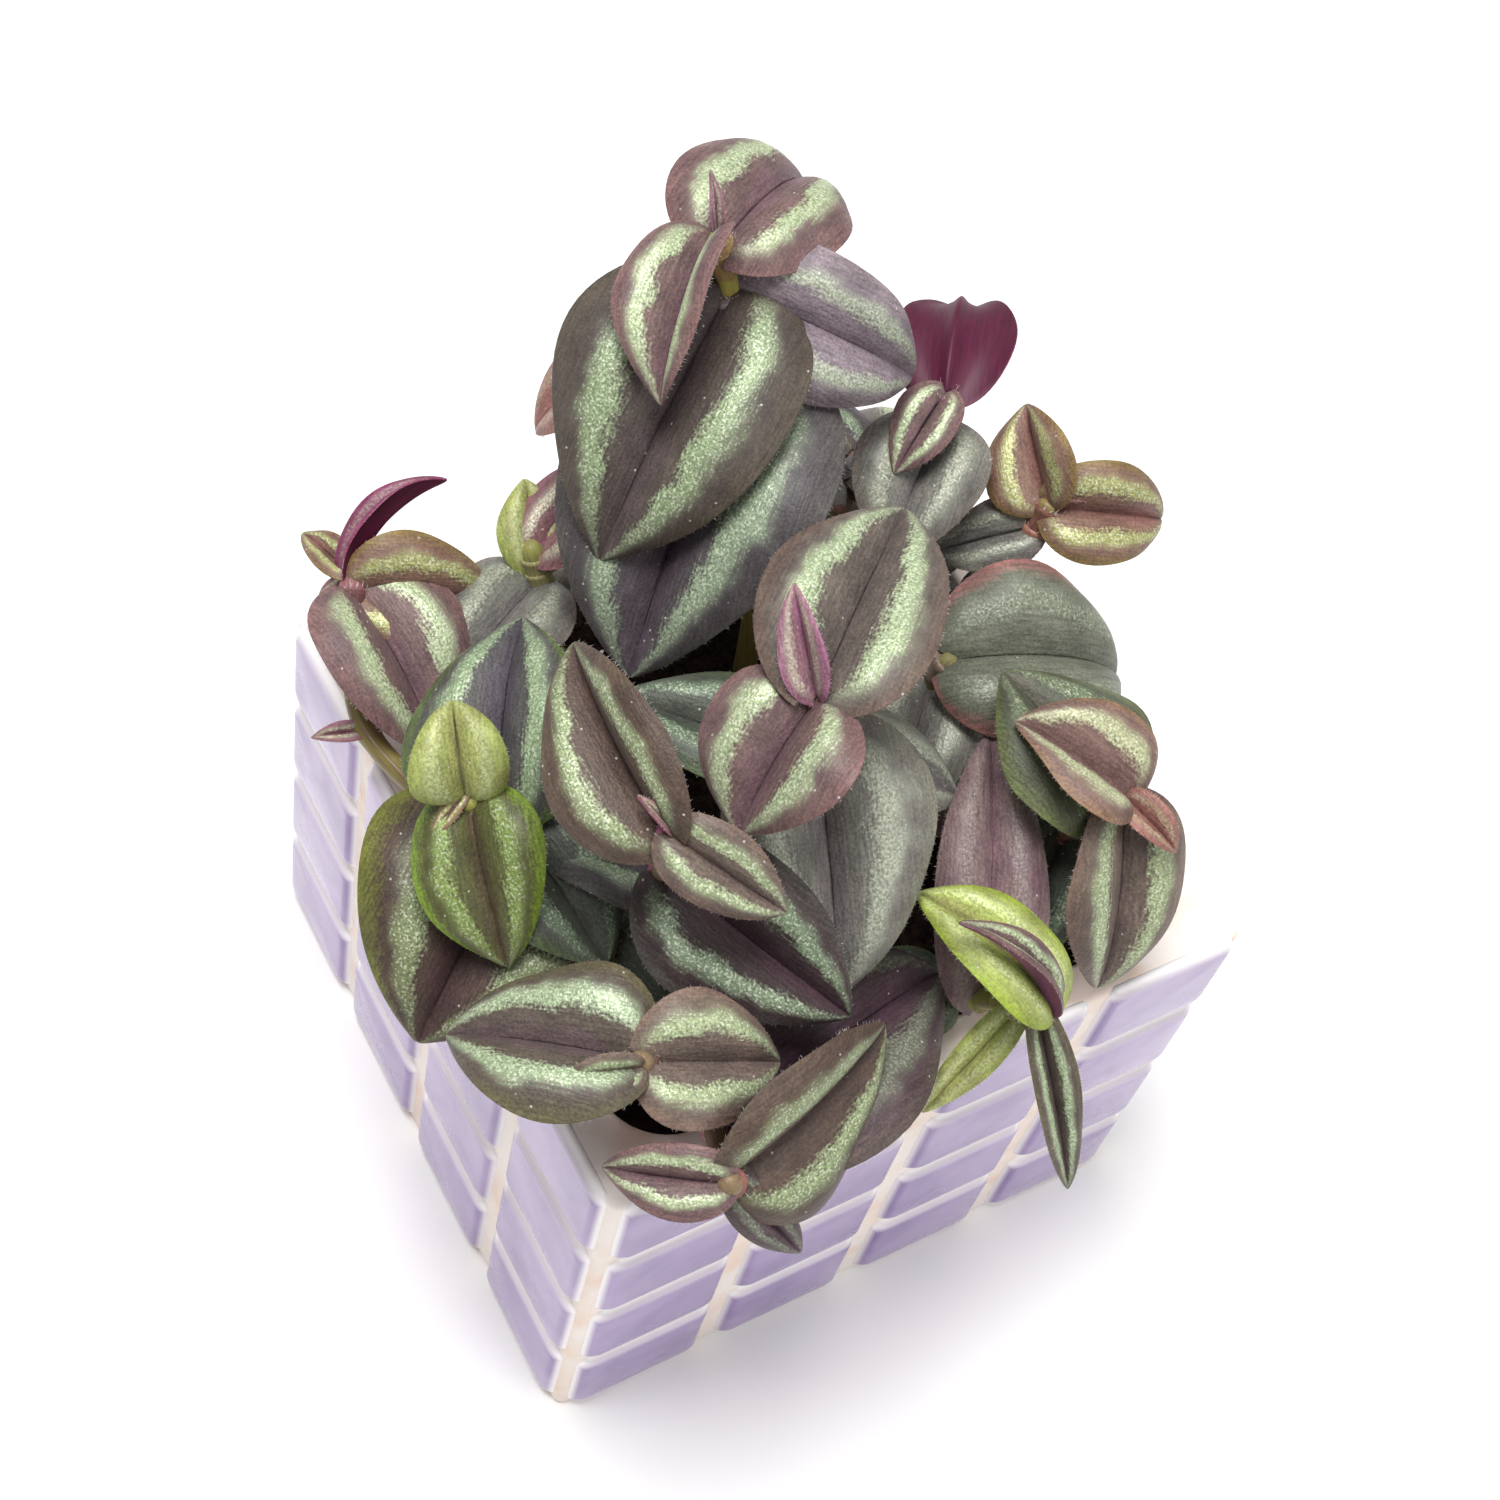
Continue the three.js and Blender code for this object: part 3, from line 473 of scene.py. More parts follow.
def gridFaces(rows, columns, closed=False):
    # quads of a grid of points, rows by columns, joined round if closed
    grid = np.arange(rows * columns).reshape(rows, columns)
    if closed:
        grid = np.column_stack([grid, grid[:, 0]])
    return np.stack([grid[:-1, :-1], grid[:-1, 1:], grid[1:, 1:], grid[1:, :-1]], -1).reshape(-1, 4)


def tubeFaces(rows, sides):
    # quads between the rings of a tube, and a fan over each end
    index = np.arange(sides)
    following = np.roll(index, -1)
    count = rows * sides
    first = np.stack([np.full(sides, count), following, index], -1)
    last = np.stack([np.full(sides, count + 1), count - sides + index, count - sides + following], -1)
    return gridFaces(rows, sides, closed=True), first, last


def tubePoints(rings):
    # the points of a tube: its rings, then the middle of the first and of the last
    return np.vstack([rings.reshape(-1, 3), rings[0].mean(0), rings[-1].mean(0)])


def centripetalCurve(path, steps):
    # Catmull-Rom curve whose knots are spaced by the square root of the distance between the points
    p = np.array(path, float)
    p = np.vstack([2 * p[0] - p[1], p, 2 * p[-1] - p[-2]])
    gaps = np.linalg.norm(np.diff(p, axis=0), axis=1) ** 0.5
    s = np.linspace(0, 1, steps, endpoint=False)[:, None]
    spans = []
    for i in range(1, len(p) - 2):
        a, b, c, d = p[i - 1:i + 3]
        before, own, after = gaps[i - 1:i + 2]
        m1 = own * ((b - a) / before - (c - a) / (before + own) + (c - b) / own)
        m2 = own * ((c - b) / own - (d - b) / (own + after) + (d - c) / after)
        spans.append((2 * s**3 - 3 * s**2 + 1) * b + (s**3 - 2 * s**2 + s) * m1
                     + (3 * s**2 - 2 * s**3) * c + (s**3 - s**2) * m2)
    return np.vstack(spans + [p[-2:-1]])


def unit(vectors):
    return vectors / np.linalg.norm(vectors, axis=-1, keepdims=True)


def eased(count):
    # shares from 0 to 1, closer together at both ends
    return 0.5 - 0.5 * np.cos(np.pi * np.linspace(0, 1, count + 1))


def bladeSurface(leaf, base, draw):
    # Midrib: an arc that turns by droop. Half-width at share u: u to the power of baseRoundness times
    # (1 - u) to the power of tipRoundness. Across, at share t of the half-width, the surface rises by the
    # fold, puffs up as sin(pi t) and turns down as t cubed; a groove runs along the midrib and shallow veins
    # beside it. The margin waves, and its base reaches back in two lobes.
    shape = leafShape
    _, heading, pitch, long, wide, roll, fold, droop, tone = leaf
    h, p, r, rise = np.radians([heading, pitch, roll, fold])
    alongAxis = np.array([math.cos(p) * math.cos(h), math.cos(p) * math.sin(h), math.sin(p)])
    level = np.array([-math.sin(h), math.cos(h), 0])
    upAxis = np.cross(alongAxis, level)
    left = level * math.cos(r) + upAxis * math.sin(r)
    face = upAxis * math.cos(r) - level * math.sin(r)
    rows, columns = shape["smallGrid" if long < shape["smallBlade"] else "grid"]
    half, gap = eased(columns), shape["endGap"]
    u, t = np.meshgrid(gap + (1 - 2 * gap) * eased(rows), np.append(-half[::-1], half[1:]), indexing="ij")
    side = np.abs(t)

    turn = math.radians(droop) or 0.001  # a straight midrib is an arc of nearly no turn
    bend = long / turn
    angle = (turn / 2 - turn * u)[..., None]
    cos, sin = np.cos(angle), np.sin(angle)
    tangent = alongAxis * cos + face * sin
    normal = face * cos - alongAxis * sin
    rib = base + alongAxis * bend * (math.sin(turn / 2) - sin) + face * bend * (cos - math.cos(turn / 2))

    phase = draw.uniform(0, 2 * np.pi, 4)
    ovate = u ** shape["baseRoundness"] * (1 - u) ** shape["tipRoundness"] / shape["widestShare"]
    uneven = shape["uneven"] * np.sin(2 * np.pi * shape["unevenTurns"] * u + phase[0]) * np.sign(t)
    width = wide / 2 * ovate * (1 + uneven)
    puff, drop = shape["puff"], shape["marginDrop"]
    lift = width * (side * math.sin(rise) + puff * np.sin(np.pi * side) - drop * side**3)
    fullness = np.clip(width / (wide / 2), 0, 1)
    groove = shape["ribDepth"] * np.exp(-((side / shape["ribWidth"]) ** 2)) * fullness
    veins = shape["veinDepth"] * np.cos(2 * np.pi * shape["veins"] * side) * fullness
    slow, quick = shape["waveTurns"]
    waves = np.sin(slow * u + phase[1] + t) + shape["secondWave"] * np.sin(quick * u + phase[2] - 2 * t)
    waves *= shape["waveShare"] * wide * side**2 * fullness
    back = long * shape["lobeReach"] * side**2 * (1 - u) ** shape["lobePower"]
    middle = (rib + left * (width * t * math.cos(rise))[..., None]
              + normal * (lift - groove + veins + waves)[..., None] - tangent * back[..., None])

    # outward direction of the blade from its neighbours on the grid, steadied by a trace of the midrib's own
    out = np.cross(np.gradient(middle, axis=0), np.gradient(middle, axis=1))
    out = unit(out / np.maximum(np.linalg.norm(out, axis=-1, keepdims=True), 1e-12) + 1e-3 * normal)
    # thinner towards the margin and towards both ends
    endPower, thinPower = shape["thinPowers"]
    edgeShare = np.maximum(side, np.abs(2 * u - 1) ** endPower)
    thin = shape["marginThickness"]
    thick = thin + (shape["thickness"] - thin) * (1 - edgeShare**thinPower)
    return {"u": u, "t": t, "side": side, "middle": middle, "out": out, "thick": thick, "tangent": tangent,
            "width": width, "long": long, "tone": tone}


def addBlade(mesh, leaf, base, draw):
    # the blade's upper skin and underside, half the thickness from its middle, a rim between them, and hairs
    shape = leafShape
    blade = bladeSurface(leaf, base, draw)
    rows, columns = blade["u"].shape
    half = blade["out"] * (blade["thick"] / 2)[..., None]
    points = np.concatenate([blade["middle"] + half, blade["middle"] - half]).reshape(-1, 3)

    *tones, bandStrength, ribStrength = leafTones[blade["tone"]]
    strengths = {"band": bandStrength, "rib": ribStrength}
    tint = 1 + draw.uniform(-shape["tintSpread"], shape["tintSpread"])
    values = {name: np.append(np.array(linear(tone)[:3]) * tint, strengths.get(name, 1.0))
              for name, tone in zip(("ground", "edge", "band", "rib", "under"), tones)}
    across = blade["t"] * blade["width"] + shape["patternShift"]
    place = np.stack([blade["u"] * blade["long"], across, blade["u"] * 0], -1)
    place += draw.uniform(0, shape["patternSpread"])
    share = np.stack([blade["u"], blade["side"], blade["t"]], -1)
    for name, own in (("leafMm", place), ("leafShare", share)):
        values[name] = np.concatenate([own, own]).reshape(-1, 3)

    count = rows * columns
    quads = gridFaces(rows, columns)
    grid = np.arange(count).reshape(rows, columns)
    border = np.concatenate([grid[0], grid[1:, -1], grid[-1, -2::-1], grid[-2:0:-1, 0]])
    following = np.roll(border, -1)
    rim = np.stack([border, following, following + count, border + count], -1)
    mesh.add(points, ((quads[:, ::-1], upperSkin), (quads + count, underSkin), (rim, upperSkin)), values)
    addMarginHairs(mesh, blade, draw)


def addHairs(mesh, roots, directions, lengths, radius):
    # hairs: three-sided spikes, each with a base triangle and a tip
    directions = unit(directions)
    # an axis that the hair doesn't run along
    helper = np.where(np.abs(directions[:, 2:]) < 0.9, [0, 0, 1], [1, 0, 0])
    first = unit(np.cross(directions, helper))
    second = np.cross(directions, first)
    corners = [roots + radius * (first * math.cos(turn) + second * math.sin(turn))
               for turn in np.radians((0, 120, 240))]
    points = np.stack(corners + [roots + directions * lengths[:, None]], 1).reshape(-1, 3)
    start = np.arange(len(roots))[:, None] * 4
    faces = np.concatenate([start + np.array(row) for row in ((0, 1, 3), (1, 2, 3), (2, 0, 3), (2, 1, 0))])
    mesh.add(points, ((faces, hairSkin),), {})


def interpolated(at, along, rows):
    # the places at these shares of a row of places
    return np.stack([np.interp(at, along, rows[:, axis]) for axis in range(3)], -1)


def addMarginHairs(mesh, blade, draw):
    # hairs stand out of the margin, spaced along its length, on both sides
    shape = leafShape
    count = max(shape["fewestHairs"], int(blade["long"] * shape["marginLength"] / shape["hairSpacing"]))
    shortest, longBlade = shape["hairGrowth"]
    growth = min(1, shortest + blade["long"] / longBlade)
    for margin, beside in ((0, 2), (-1, -3)):
        u = draw.uniform(*shape["hairPlaces"], count)
        roots, inner, tangent = (interpolated(u, blade["u"][:, margin], rows) for rows in (
            blade["middle"][:, margin], blade["middle"][:, beside], blade["tangent"][:, margin]))
        outward = unit(roots - inner)
        lean = tangent * draw.uniform(0, shape["hairLean"], (count, 1))
        directions = outward + lean + draw.normal(0, shape["hairSpread"], (count, 3))
        lengths = draw.uniform(*shape["hairLength"], count) * growth
        addHairs(mesh, roots - outward * shape["hairSunk"], directions, lengths, shape["hairRadius"])


def ringsAlong(centres, radii, tangent, sides):
    # round rings square to the path, all turned the same way about it so that the tube doesn't twist
    side = unit(np.cross(np.array([0.0, 1.0, 0.0]), tangent))
    other = np.cross(tangent, side)
    turn = 2 * np.pi * np.arange(sides) / sides
    ring = side[:, None] * np.cos(turn)[:, None] + other[:, None] * np.sin(turn)[:, None]
    return centres[:, None] + ring * radii[:, None, None]


def addTube(mesh, rings, along, colours):
    # closed tube whose pattern runs on millimetres along it and round it
    rows, sides = rings.shape[:2]
    halfway = rings[rows // 2]
    radius = np.linalg.norm(halfway - halfway.mean(0), axis=-1).mean()
    around = 2 * np.pi * radius * np.arange(sides) / sides
    depth = stemShape["patternDepth"]
    place = np.stack(np.broadcast_arrays(along[:, None], around[None], depth), -1)
    place = np.vstack([place.reshape(-1, 3), [[along[0], 0, depth], [along[-1], 0, depth]]])
    colour = np.vstack([np.repeat(colours, sides, 0), colours[:1], colours[-1:]])
    groups = [(faces, stemSkin) for faces in tubeFaces(rows, sides)]
    mesh.add(tubePoints(rings), groups, {"ground": colour, "leafMm": place})


def addStem(mesh, shoot, draw):
    # rod along the curve, thicker at its foot, swollen where a leaf leaves it, with a sheath below each leaf
    shape = stemShape
    curve = centripetalCurve(shoot["path"], shape["stepsPerSpan"])
    run = np.concatenate([[0], np.cumsum(np.linalg.norm(np.diff(curve, axis=0), axis=1))])
    radii = shape["radius"] * (1 + shape["taper"] * (0.5 - run / run[-1]))
    places = np.interp([leaf[0] for leaf in shoot["leaves"]], curve[:, 2], run)
    swell = np.exp(-(((run[:, None] - places) / shape["nodeLength"]) ** 2)).max(1)
    radii += shape["nodeSwell"] * swell
    radii[-1] *= shape["tipShare"]
    rings = ringsAlong(curve, radii, unit(np.gradient(curve, axis=0)), shape["sides"])
    darker = np.array(shape["footShade"])
    height = np.clip((curve[:, 2:3] - shape["shadeTop"]) / shape["shadeDepth"], 0, 1)
    addTube(mesh, rings, run, np.array(linear(shoot["stem"])) * (darker + (1 - darker) * height))

    for leaf, place in zip(shoot["leaves"], places):
        if leaf[3] < shape["budLeaf"] and leaf[0] > shape["lowLeaf"]:
            continue  # a bud leaf near the top has no sheath of its own
        addSheath(mesh, shoot, place, curve, run, radii, draw)
    return curve


def addSheath(mesh, shoot, place, curve, run, radii, draw):
    # sleeve that opens towards its mouth, closed by rings inside the stem, with hairs round the mouth
    shape = stemShape
    steps = np.linspace(0, 1, shape["sheathRings"])
    along = place - shape["sheathLength"] * (1 - steps)
    centres = interpolated(along, run, curve)
    inside = np.interp(along, run, radii)
    profile = inside + shape["sheathStand"] + (shape["sheathMouth"] - shape["sheathStand"]) * steps**2
    profile[0] = inside[0] * shape["sheathEnds"]
    profile = np.append(profile, inside[-1] * shape["sheathEnds"])
    tangent = np.gradient(centres, axis=0)
    tangent = unit(np.vstack([tangent, tangent[-1:]]))
    centres = np.vstack([centres, centres[-1:]])
    rings = ringsAlong(centres, profile, tangent, shape["sheathSides"])
    colours = np.repeat([linear(shoot["sheath"])], len(rings), 0)
    addTube(mesh, rings, np.append(along, along[-1]), colours)

    mouth = rings[-2]
    pick = draw.integers(0, len(mouth), shape["mouthHairs"])
    outward = unit(mouth[pick] - centres[-1])
    upward = unit(centres[-2] - centres[-4])
    spread = draw.normal(0, shape["mouthHairSpread"], (len(pick), 3))
    lengths = draw.uniform(*shape["mouthHairLength"], len(pick))
    directions = upward + shape["mouthHairLean"] * outward + spread
    addHairs(mesh, mouth[pick], directions, lengths, shape["mouthHairRadius"])


for number, shoot in enumerate(shoots):
    draw = np.random.default_rng(stemSeed + number)
    mesh = Mesh()
    curve = addStem(mesh, shoot, draw)
    for leaf in shoot["leaves"]:
        addBlade(mesh, leaf, interpolated(leaf[0], curve[:, 2], curve), draw)
    piece = mesh.piece(shoot["name"] + "_foliage", [leafFinish, underFinish, stemFinish, hairFinish])
    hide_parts(shoot["name"])
    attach(piece, "root")
print("leafy stems made:", len(shoots))

# Pot, slip-cast. Its bare body shows between the tiles, on the rim and inside.
pot = {
    "width": 95, "height": 70, "wall": 5.6, "floor": 6, "outerCorner": 1.6, "innerCorner": 9,
    "rimRound": 0.9, "baseRound": 1.0, "outerRings": (6, 3, 6), "innerRings": (60, 50, 30),
    "floorRound": 4, "floorInset": 3, "roundSteps": 6, "cornerSteps": 10,
}
tile = {
    "columns": 4, "rows": 4, "width": 20.8, "tall": 16.2, "lowest": 1, "relief": 1.3, "chamfer": 1.7,
    "chamferTall": 0.9, "slopeSteps": 8, "slopePower": 0.9, "corner": 1.5, "cornerSteps": 5, "sunk": 0.5,
    "crown": 0.18, "crownRings": (0.88, 0.7, 0.45, 0.2), "dip": 0.06, "dipTurns": (0.55, 0.6),
    # white slopes: thin glaze at the foot of each slope; the last value spreads it up the slopes that face
    # up as painted highlight
    "dipStart": (0, 6), "whiteStart": 1.25, "whiteFoot": 0.3, "paintedHighlightTop": 0.6,
}


def roundedRectangle(halfWidth, halfHeight, radius, steps):
    # outline of a rectangle with round corners, counter-clockwise, and how far up each point of it faces
    angle = np.add.outer(np.radians([0, 90, 180, 270]), np.linspace(0, np.pi / 2, steps + 1)).ravel()
    signX = np.repeat([1, -1, -1, 1], steps + 1)
    signY = np.repeat([1, 1, -1, -1], steps + 1)
    x = signX * (halfWidth - radius) + radius * np.cos(angle)
    y = signY * (halfHeight - radius) + radius * np.sin(angle)
    return x, y, np.sin(angle)


def squareRing(half, radius, z, steps):
    x, y, _ = roundedRectangle(half, half, radius, steps)
    return np.stack([x, y, np.full(len(x), float(z))], -1)


def loftPiece(name, rings, material):
    # closed piece out of rings
    faces = [face for group in tubeFaces(*rings.shape[:2]) for face in group.tolist()]
    return makePiece(name, tubePoints(rings), faces, [material])


def potProfile():
    # inset from the outside, corner radius and height, up the outside, over the rim and down the inside
    rim, base, wall, floor, top = (pot[key] for key in ("rimRound", "baseRound", "wall", "floor", "height"))
    outer, inner = pot["outerCorner"], pot["innerCorner"]
    fromBase, fromRim, count = pot["outerRings"]
    arc = np.linspace(0, np.pi / 2, pot["roundSteps"])
    rows = [(base * (1 - np.sin(a)), outer, base * (1 - np.cos(a))) for a in arc]
    rows += [(0, outer, z) for z in np.linspace(base + fromBase, top - rim - fromRim, count)]
    rows += [(rim * (1 - np.cos(a)), outer, top - rim + rim * np.sin(a)) for a in arc]
    rows += [(wall - rim + rim * np.sin(a), inner, top - rim + rim * np.cos(a)) for a in arc]
    rows += [(wall, inner, z) for z in (*pot["innerRings"], floor + pot["floorRound"])]
    rows += [(wall + pot["floorInset"] * np.sin(a) ** 2, inner, floor + pot["floorRound"] * (1 - np.sin(a)))
             for a in arc[1:]]
    return rows


# Bare earthenware: matt and cream, with a faint blush and a fine grain
clayLook = {
    "shader": {"IOR": 1.5, "Roughness": 0.55, "Specular IOR Level": 0.4},
    "low": "#f2e9e2", "high": "#ecd5c4", "mottle": 7.0, "mottleDetail": 3.0, "mottleFade": (0.4, 0.7, 0, 1),
    "grain": 0.7, "grainDetail": 4.0, "sharpness": 0.6, "relief": 0.08,
}

# Lilac glaze: poured over the tiles, glassy, deeper where it pools. Its slope colour is white: thin glaze at
# the foot of each slope, and painted highlight further up the slopes that face up
glazeLook = {
    "shader": {"IOR": 1.5, "Coat Weight": 0.6, "Coat Roughness": 0.06, "Specular IOR Level": 0.5},
    "low": "#947bb0", "high": "#775c99", "mottle": 11.0, "mottleDetail": 2.0, "mottleBend": 0.3,
    "mottleFade": (0.36, 0.68, 0, 1), "slope": "#f8f4f4", "roughness": (0.3, 0.7, 0.14, 0.26),
    "grain": 5.0, "grainDetail": 2.0, "sharpness": 0.7, "relief": 0.22,
}


def mottledColour(tree, look):
    # two colours mixed by a noise, and the noise that gives the relief
    place = addNode(tree, "TexCoord").outputs["Object"]
    mottle, grain = (addNode(tree, "TexNoise", {
        "Vector": place, "Scale": perMetre(look[name]), "Detail": look[name + "Detail"],
        "Distortion": look.get(name + "Bend", 0.0)}) for name in ("mottle", "grain"))
    mask = addNode(tree, "MapRange", (mottle, *look["mottleFade"]))
    low, high = linear(look["low"]), linear(look["high"])
    colour = addNode(tree, "Mix", {0: mask, 6: low, 7: high}, data_type="RGBA").outputs[2]
    return colour, mottle, grain


def mottledMaterial(name, look):
    material, tree = newMaterial(name, look["shader"])
    colour, _, grain = mottledColour(tree, look)
    finishSurface(tree, look, grain, {"Base Color": colour})
    return material


def glazeMaterial(look):
    material, tree = newMaterial("lilacGlaze", look["shader"])
    colour, pool, wave = mottledColour(tree, look)
    # slope: white of thin glaze at the foot of each slope, and painted highlight up the slopes that face up
    slope = addNode(tree, "Attribute", attribute_name="slope").outputs["Fac"]
    white = linear(look["slope"])
    colour = addNode(tree, "Mix", {0: slope, 6: colour, 7: white}, data_type="RGBA").outputs[2]
    roughness = addNode(tree, "MapRange", (pool, *look["roughness"]))
    finishSurface(tree, look, wave, {"Base Color": colour, "Roughness": roughness})
    return material


def tileRings(draw):
    # one raised tile: rings go in from its sunk foot up a rounded slope, then over a slightly crowned face
    levels = [(0.0, -tile["sunk"])]
    levels += [(s, tile["relief"] * math.sin(s * math.pi / 2) ** tile["slopePower"])
               for s in np.linspace(0, 1, tile["slopeSteps"])]
    rings, slopes = [], []
    for share, stand in levels:
        inset = tile["chamfer"] * share
        halfWidth, halfTall = tile["width"] / 2 - inset, tile["tall"] / 2 - inset * tile["chamferTall"]
        x, z, upward = roundedRectangle(halfWidth, halfTall, tile["corner"], tile["cornerSteps"])
        rings.append(np.stack([x, np.full_like(x, stand), z], -1))
        # thin glaze leaves the foot of each slope white; up the top slopes the white is painted highlight
        thinGlazeAndHighlightReach = tile["whiteFoot"] + tile["paintedHighlightTop"] * np.maximum(0, upward)
        slopes.append(np.clip(tile["whiteStart"] - share / thinGlazeAndHighlightReach, 0, 1))
    border = rings[-1]
    turnX, turnZ = tile["dipTurns"]
    for share in tile["crownRings"]:
        ring = border * np.array([share, 1, share])
        dip = tile["dip"] * np.sin(ring[:, 0] * turnX + draw.uniform(*tile["dipStart"]))
        dip *= np.sin(ring[:, 2] * turnZ + draw.uniform(*tile["dipStart"]))
        ring[:, 1] += tile["crown"] * (1 - share**2) + dip * (1 - share)
        rings.append(ring)
        slopes.append(np.zeros(len(ring)))
    return np.array(rings), np.array(slopes)


def potTiles(material):
    # the tiles of all four sides, made in front and turned round the pot
    draw = np.random.default_rng(tileSeed)
    pitch = pot["width"] / tile["columns"]
    rise = (pot["height"] - tile["lowest"] - tile["tall"]) / (tile["rows"] - 1)
    points, faces, slopes = [], [], []
    count = 0
    for quarter, column, row in product(range(4), range(tile["columns"]), range(tile["rows"])):
        rings, slope = tileRings(draw)
        flat = tubePoints(rings)
        x = flat[:, 0] + (column - (tile["columns"] - 1) / 2) * pitch
        y = -(pot["width"] / 2 + flat[:, 1])
        z = flat[:, 2] + tile["lowest"] + tile["tall"] / 2 + row * rise
        c, s = math.cos(math.pi / 2 * quarter), math.sin(math.pi / 2 * quarter)
        points.append(np.stack([x, y, z], -1) @ np.array([[c, s, 0], [-s, c, 0], [0, 0, 1]]))
        slopes.append(np.append(slope.ravel(), [1, 0]))
        faces += [face for group in tubeFaces(*rings.shape[:2]) for face in (group + count).tolist()]
        count += len(flat)
    piece = makePiece("pot_tiles", np.vstack(points), faces, [material])
    addValues(piece, "slope", np.concatenate(slopes)[:, None])
    return piece


rings = np.array([squareRing(pot["width"] / 2 - inset, corner, z, pot["cornerSteps"])
                  for inset, corner, z in potProfile()])
potBody = loftPiece("pot_body", rings, mottledMaterial("matCreamEarthenware", clayLook))
tiles = potTiles(glazeMaterial(glazeLook))
for piece in (potBody, tiles):
    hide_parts("pot")
    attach(piece, "root")
print("pot made")

# Potting soil: crumbs of peat and bark, almost black where they are damp
soil = {
    "level": 61, "heap": 1.5, "rough": 0.9, "gap": 0.3, "footGap": 0.4, "footInset": 4.5, "straightFrom": 9,
    "straightTo": 0.8, "rings": 24, "ringShares": (0.97, 0.04),
    "crumbs": 1100, "crumbSize": (0.5, 1.5), "crumbStretch": (0.6, 1.2), "crumbShake": (0.8, 1.15),
    "crumbGap": 1.6, "cornerPull": 0.86,
}
soilLook = {
    "shader": {"Roughness": 0.95, "Specular IOR Level": 0.25},
    "low": "#15100d", "high": "#3a2a20", "mottle": 1.1, "mottleDetail": 5.0, "mottleFade": (0.35, 0.7, 0, 1),
    "grain": 1.1, "grainDetail": 5.0, "sharpness": 1.0, "relief": 0.6,
}


def soilBlock(half, radius, draw, material):
    # block up to the rough top, which is heaped a little towards the middle
    steps = pot["cornerSteps"]
    sides = ((soil["footInset"], pot["floor"] + soil["footGap"]), (0, pot["floor"] + soil["straightFrom"]),
             (0, soil["level"] - soil["straightTo"]))
    rings = [squareRing(half - inset, radius, z, steps) for inset, z in sides]
    for share in np.linspace(*soil["ringShares"], soil["rings"]):
        ring = squareRing(half, radius, soil["level"] + soil["heap"] * (1 - share), steps)
        ring[:, :2] *= share
        ring[:, 2] += soil["rough"] * (draw.random(len(ring)) - 0.5)
        rings.append(ring)
    return loftPiece("soil_block", np.array(rings), material)


def soilCrumbs(half, radius, draw, material):
    # crumbs strewn over the top: icosahedrons, stretched and shaken. Their corners are those of three golden
    # rectangles, and their faces the threes of neighbouring corners, 1.05 apart where others are 1.7 or
    # more, wound to face outwards.
    golden = (1 + 5 ** 0.5) / 2
    rectangle = [(x, y * golden, 0) for y in (1, -1) for x in (-1, 1)]
    corners = unit(np.concatenate([np.roll(rectangle, shift, 1) for shift in range(3)]))
    faces = np.array(list(combinations(range(len(corners)), 3)))
    edges = np.linalg.norm(corners[faces] - np.roll(corners[faces], 1, 1), axis=-1)
    faces = faces[edges.max(1) < 1.5]
    inward = np.linalg.det(corners[faces]) < 0
    faces[inward] = faces[inward, ::-1]
    count, reach = soil["crumbs"], half - soil["crumbGap"]
    centres = draw.uniform(-reach, reach, (count, 2))
    inCorner = (np.abs(centres) > half - radius).all(1)
    centres[inCorner] *= soil["cornerPull"]
    height = soil["level"] + soil["heap"] * (1 - np.abs(centres).max(1) / half)
    centres = np.column_stack([centres, height])
    sizes = draw.uniform(*soil["crumbSize"], (count, 1, 1))
    sizes = sizes * draw.uniform(*soil["crumbStretch"], (count, 1, 3))
    shaken = corners * sizes * draw.uniform(*soil["crumbShake"], (count, len(corners), 1))
    points = (centres[:, None] + shaken).reshape(-1, 3)
    allFaces = (faces + len(corners) * np.arange(count)[:, None, None]).reshape(-1, 3)
    return makePiece("soil_crumbs", points, allFaces.tolist(), [material], smooth=False)


half = pot["width"] / 2 - pot["wall"] - soil["gap"]
radius = pot["innerCorner"] - soil["gap"]
draw = np.random.default_rng(soilSeed)
soilFinish = mottledMaterial("dampPottingSoil", soilLook)
for make in (soilBlock, soilCrumbs):
    piece = make(half, radius, draw, soilFinish)
    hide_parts("soil")
    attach(piece, "root")
print("soil made")

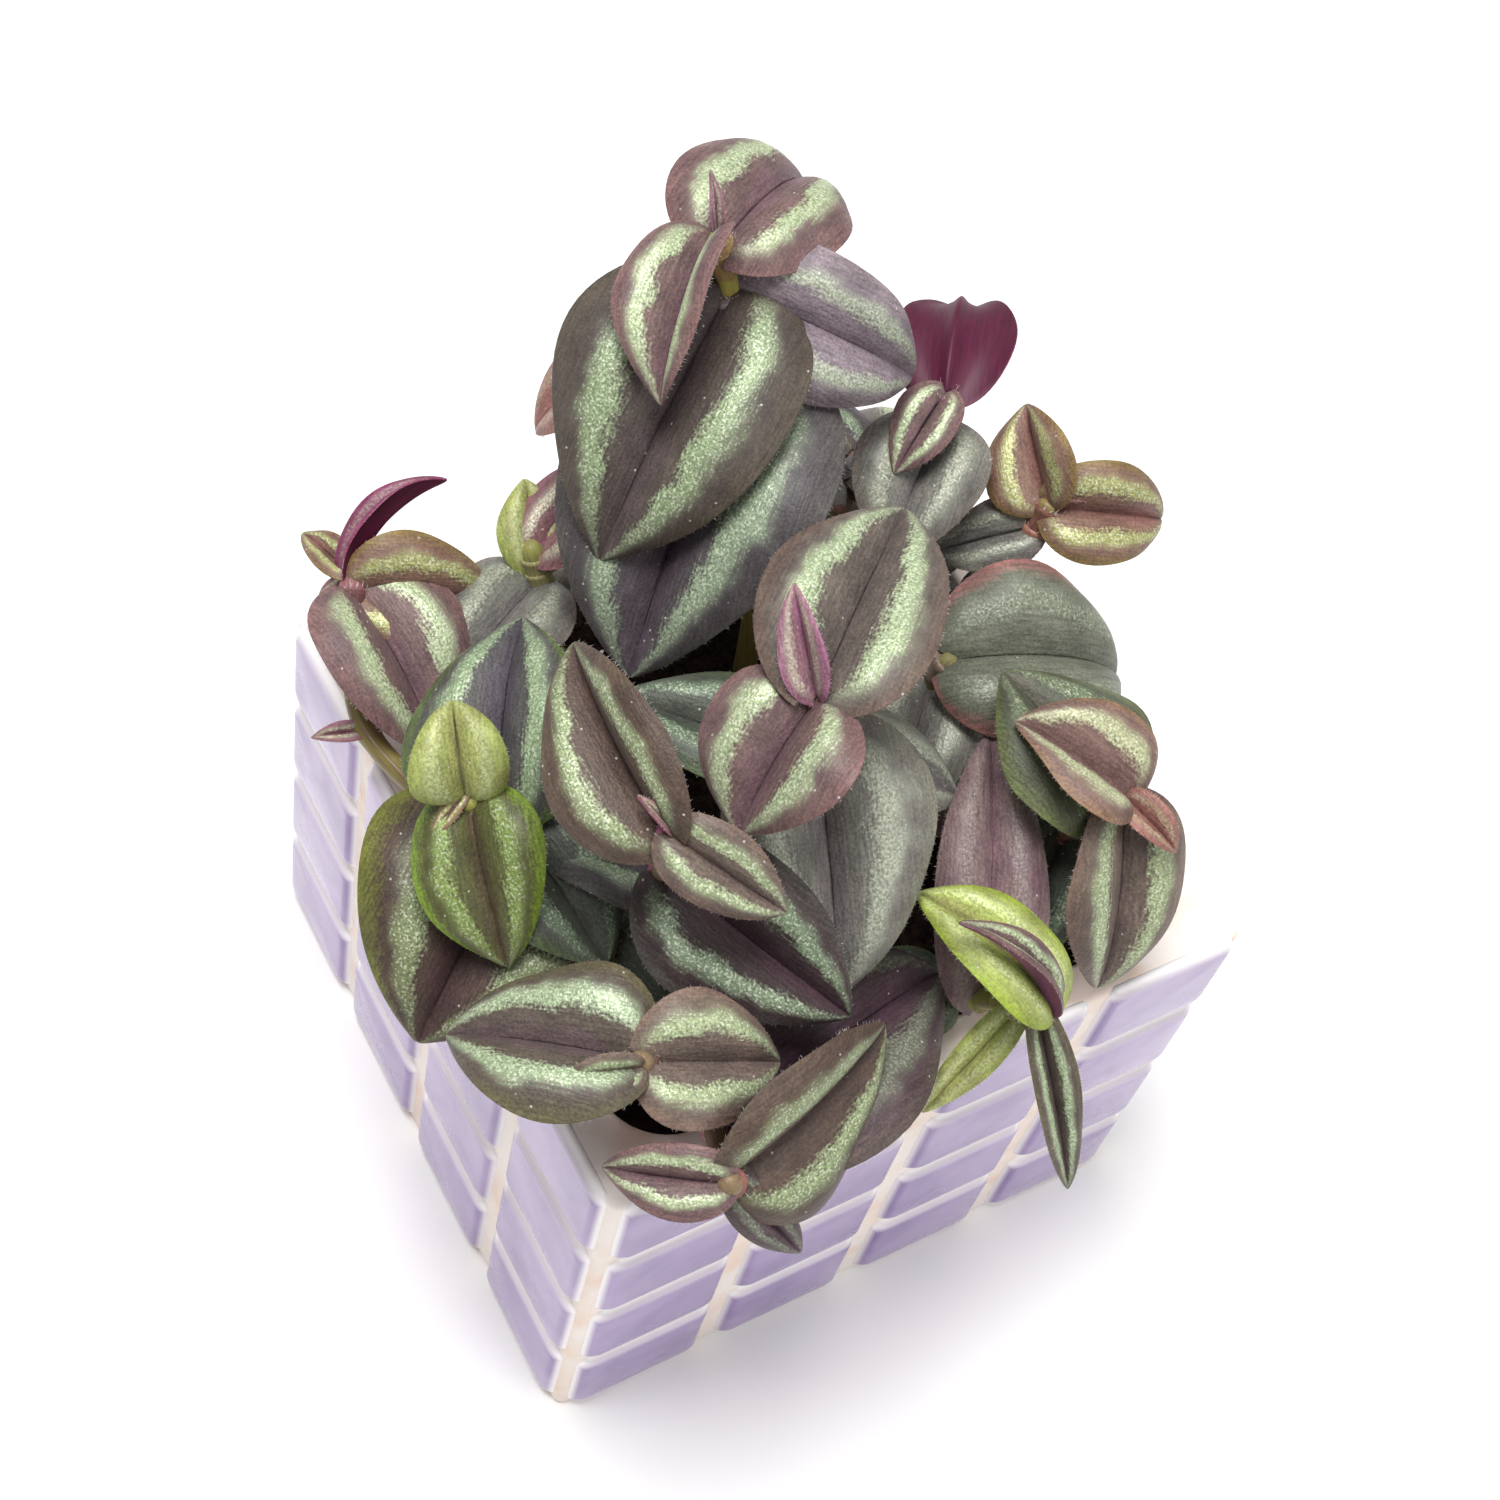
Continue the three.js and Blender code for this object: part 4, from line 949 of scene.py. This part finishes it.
# Floor, light and camera. Light powers are in watts, angles in degrees.
studio = {
    "floorSize": 6000, "floorColour": "#f6f5f4", "floorRoughness": 0.9,
    "worldColour": "#ffffff", "worldStrength": 0.43, "aim": (0, 0, 80),
    "keyLight": {"place": (-90, -140, 1000), "size": 480, "power": 11.0},
    "fillLight": {"place": (700, 300, 700), "size": 700, "power": 2.6},
}
# the camera was fitted to the corners of the pot and the joints between its tiles
view = {
    "place": (135.0, -126.8, 337.3), "azimuth": 47.75, "elevation": 54.9, "roll": 16.36, "lens": 58.12,
    "sensor": 36.0, "clipStart": 10,
}


def placeLooking(name, thing, place, toward, roll=0.0):
    # a camera or lamp looks along its own -Z: held level first, then turned about the line of sight
    level = Vector(toward).to_track_quat("-Z", "Y").to_matrix().to_4x4()
    thing = bpy.data.objects.new(name, thing)
    bpy.context.scene.collection.objects.link(thing)
    thing.matrix_world = Matrix.Translation(Vector(place) * mm) @ level @ Matrix.Rotation(roll, 4, "Z")
    return thing


paper = newMaterial("paperFloor", {"Base Color": linear(studio["floorColour"]),
                                   "Roughness": studio["floorRoughness"]})[0]
corners = np.array([(-1, -1, 0), (1, -1, 0), (1, 1, 0), (-1, 1, 0)]) * studio["floorSize"] / 2
makePiece("floor", corners, [(0, 1, 2, 3)], [paper], smooth=False)
world = bpy.data.worlds.new("studioWorld")
world.use_nodes = True
setInputs(world.node_tree, world.node_tree.nodes["Background"], {
    "Color": linear(studio["worldColour"]), "Strength": studio["worldStrength"]})
bpy.context.scene.world = world
for name in ("keyLight", "fillLight"):
    light = bpy.data.lights.new(name, "AREA")
    lamp = studio[name]
    light.size = lamp["size"] * mm
    light.energy = lamp["power"]
    placeLooking(name, light, lamp["place"], np.subtract(studio["aim"], lamp["place"]))
bpy.context.scene.view_settings.view_transform = "Standard"

azimuth, elevation, roll = (math.radians(view[key]) for key in ("azimuth", "elevation", "roll"))
toward = (-math.cos(elevation) * math.sin(azimuth), math.cos(elevation) * math.cos(azimuth),
          -math.sin(elevation))
lens = bpy.data.cameras.new("photoCamera")
lens.lens = view["lens"]
lens.sensor_width = view["sensor"]
lens.clip_start = view["clipStart"] * mm
bpy.context.scene.camera = placeLooking("photoCamera", lens, view["place"], toward, roll)
print("floor, light and camera made")
